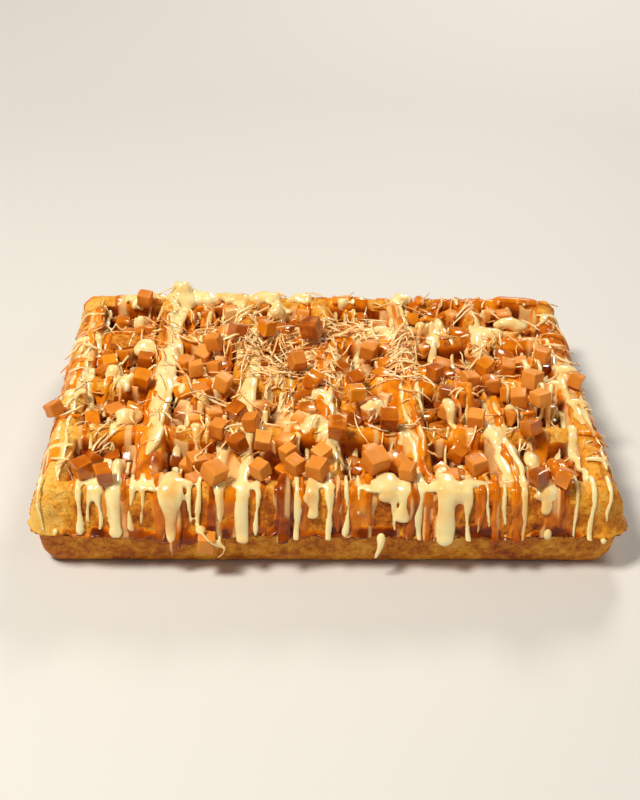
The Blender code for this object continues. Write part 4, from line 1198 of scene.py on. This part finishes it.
shreds = meshObject("coconutShreds", np.stack(corners, 2).reshape(-1, 3), np.concatenate([quads] + tips)[:, ::-1])
brown = (0.6 * shredDraw.random(count) ** 2.4)[:, None]
brown = brown + 0.5 * easeStep(np.abs(t), 0.3, 0.5) * shredDraw.uniform(0, 1.4, count)[:, None]
paint(shreds, "toast", np.repeat(brown, 4, axis=1))
addPiece(shreds, shredMat)
print("coconut made", count)


setting = {
    "floorHalf": 15000, "floorDrop": 0.05, "floorColour": (0.70, 0.69, 0.67),
    # the floor glows far away, so that it ends in the backdrop: colour, strength, and from where to where in metres
    "glow": (1.0, 0.95, 0.88, 1), "glowStrength": 0.62, "glowFrom": (0.35, 1.5),
    # name, place, size, power and colour
    "lights": [
        ("keyLight", (-0.42, -0.22, 0.84), 0.20, 9.4, (1.0, 0.94, 0.83)),
        ("fillLight", (0.8, -0.35, 0.5), 0.5, 1.1, (1.0, 0.95, 0.88)),
        ("backLight", (0.25, 0.70, 0.65), 0.22, 3.4, (1.0, 0.95, 0.86)),
    ],
    "aim": (0, 0, 0.02),
    # the room: its colour, brightness at the horizon and overhead, and the height where it has dimmed
    "room": (1.0, 0.96, 0.89, 1), "horizon": 0.58, "overhead": 0.10, "dimmedAt": 0.32,
}


def studio():
    # pale floor, three soft lights and a room that is bright at the horizon
    half, drop = setting["floorHalf"], -setting["floorDrop"]
    floor = meshObject("studioFloor", [(-half, -half, drop), (half, -half, drop), (half, half, drop),
                                       (-half, half, drop)], [[0, 1, 2, 3]], False)
    s = Shader("paleFloor")
    reach = s.add("ShaderNodeVectorMath", operation="LENGTH")
    s.put(reach.inputs[0], s.place)
    s.put(s.body.inputs["Emission Color"], setting["glow"])
    s.put(s.body.inputs["Emission Strength"],
          s.grey(reach.outputs["Value"], 0.0, setting["glowStrength"], setting["glowFrom"]))
    floor.data.materials.append(s.set(colour=setting["floorColour"], rough=0.6))
    for name, place, size, power, tint in setting["lights"]:
        data = bpy.data.lights.new(name, "AREA")
        data.size, data.energy, data.color = size, power, tint
        lamp = bpy.data.objects.new(name, data)
        z = np.array(place) - np.array(setting["aim"])
        z /= np.linalg.norm(z)
        x = np.cross([0, 0, 1.0], z)
        x /= np.linalg.norm(x)
        facing = Matrix(np.stack([x, np.cross(z, x), z], 1).tolist())
        lamp.matrix_world = Matrix.Translation(place) @ facing.to_4x4()
        bpy.context.scene.collection.objects.link(lamp)
    world = bpy.data.worlds.new("softRoom")
    world.use_nodes = True
    tree = world.node_tree
    rise = tree.nodes.new("ShaderNodeMapRange")
    rise.interpolation_type = "SMOOTHSTEP"
    rise.inputs["From Min"].default_value = 0.0
    rise.inputs["From Max"].default_value = setting["dimmedAt"]
    rise.inputs["To Min"].default_value = setting["horizon"]
    rise.inputs["To Max"].default_value = setting["overhead"]
    split = tree.nodes.new("ShaderNodeSeparateXYZ")
    tree.links.new(tree.nodes.new("ShaderNodeTexCoord").outputs["Generated"], split.inputs[0])
    tree.links.new(split.outputs["Z"], rise.inputs["Value"])
    tree.links.new(rise.outputs["Result"], tree.nodes["Background"].inputs[1])
    tree.nodes["Background"].inputs[0].default_value = setting["room"]
    bpy.context.scene.world = world
    bpy.context.scene.view_settings.view_transform = "Standard"
    print("studio made")


# fitted to the pockets in the photograph: metres, degrees, and the focal length in pixels of its longer side
viewpoint = {"place": (-0.0176, -0.3487, 0.2622), "down": 34.55, "turn": -2.6, "roll": 1.86,
             "focal": 1211.7, "pixels": 800, "sensor": 36, "clip": (0.01, 60)}


def camera():
    # looks along the view direction tilted down by an angle, then turned about the upright and rolled
    down, turn, roll = (math.radians(viewpoint[key]) for key in ("down", "turn", "roll"))
    spin = turnUpright(turn)
    look = spin @ np.array([0, math.cos(down), -math.sin(down)])
    right = spin @ np.array([1.0, 0, 0])
    up = spin @ np.array([0, math.sin(down), math.cos(down)])
    right, up = math.cos(roll) * right + math.sin(roll) * up, -math.sin(roll) * right + math.cos(roll) * up
    data = bpy.data.cameras.new("photoCamera")
    data.lens = viewpoint["focal"] / viewpoint["pixels"] * viewpoint["sensor"]
    data.sensor_width, data.sensor_fit = viewpoint["sensor"], "AUTO"
    data.clip_start, data.clip_end = viewpoint["clip"]
    obj = bpy.data.objects.new("photoCamera", data)
    turned = Matrix(np.stack([right, up, -look], 1).tolist()).to_4x4()
    obj.matrix_world = Matrix.Translation(viewpoint["place"]) @ turned
    bpy.context.scene.collection.objects.link(obj)
    bpy.context.scene.camera = obj
    print("camera set")


studio()
camera()
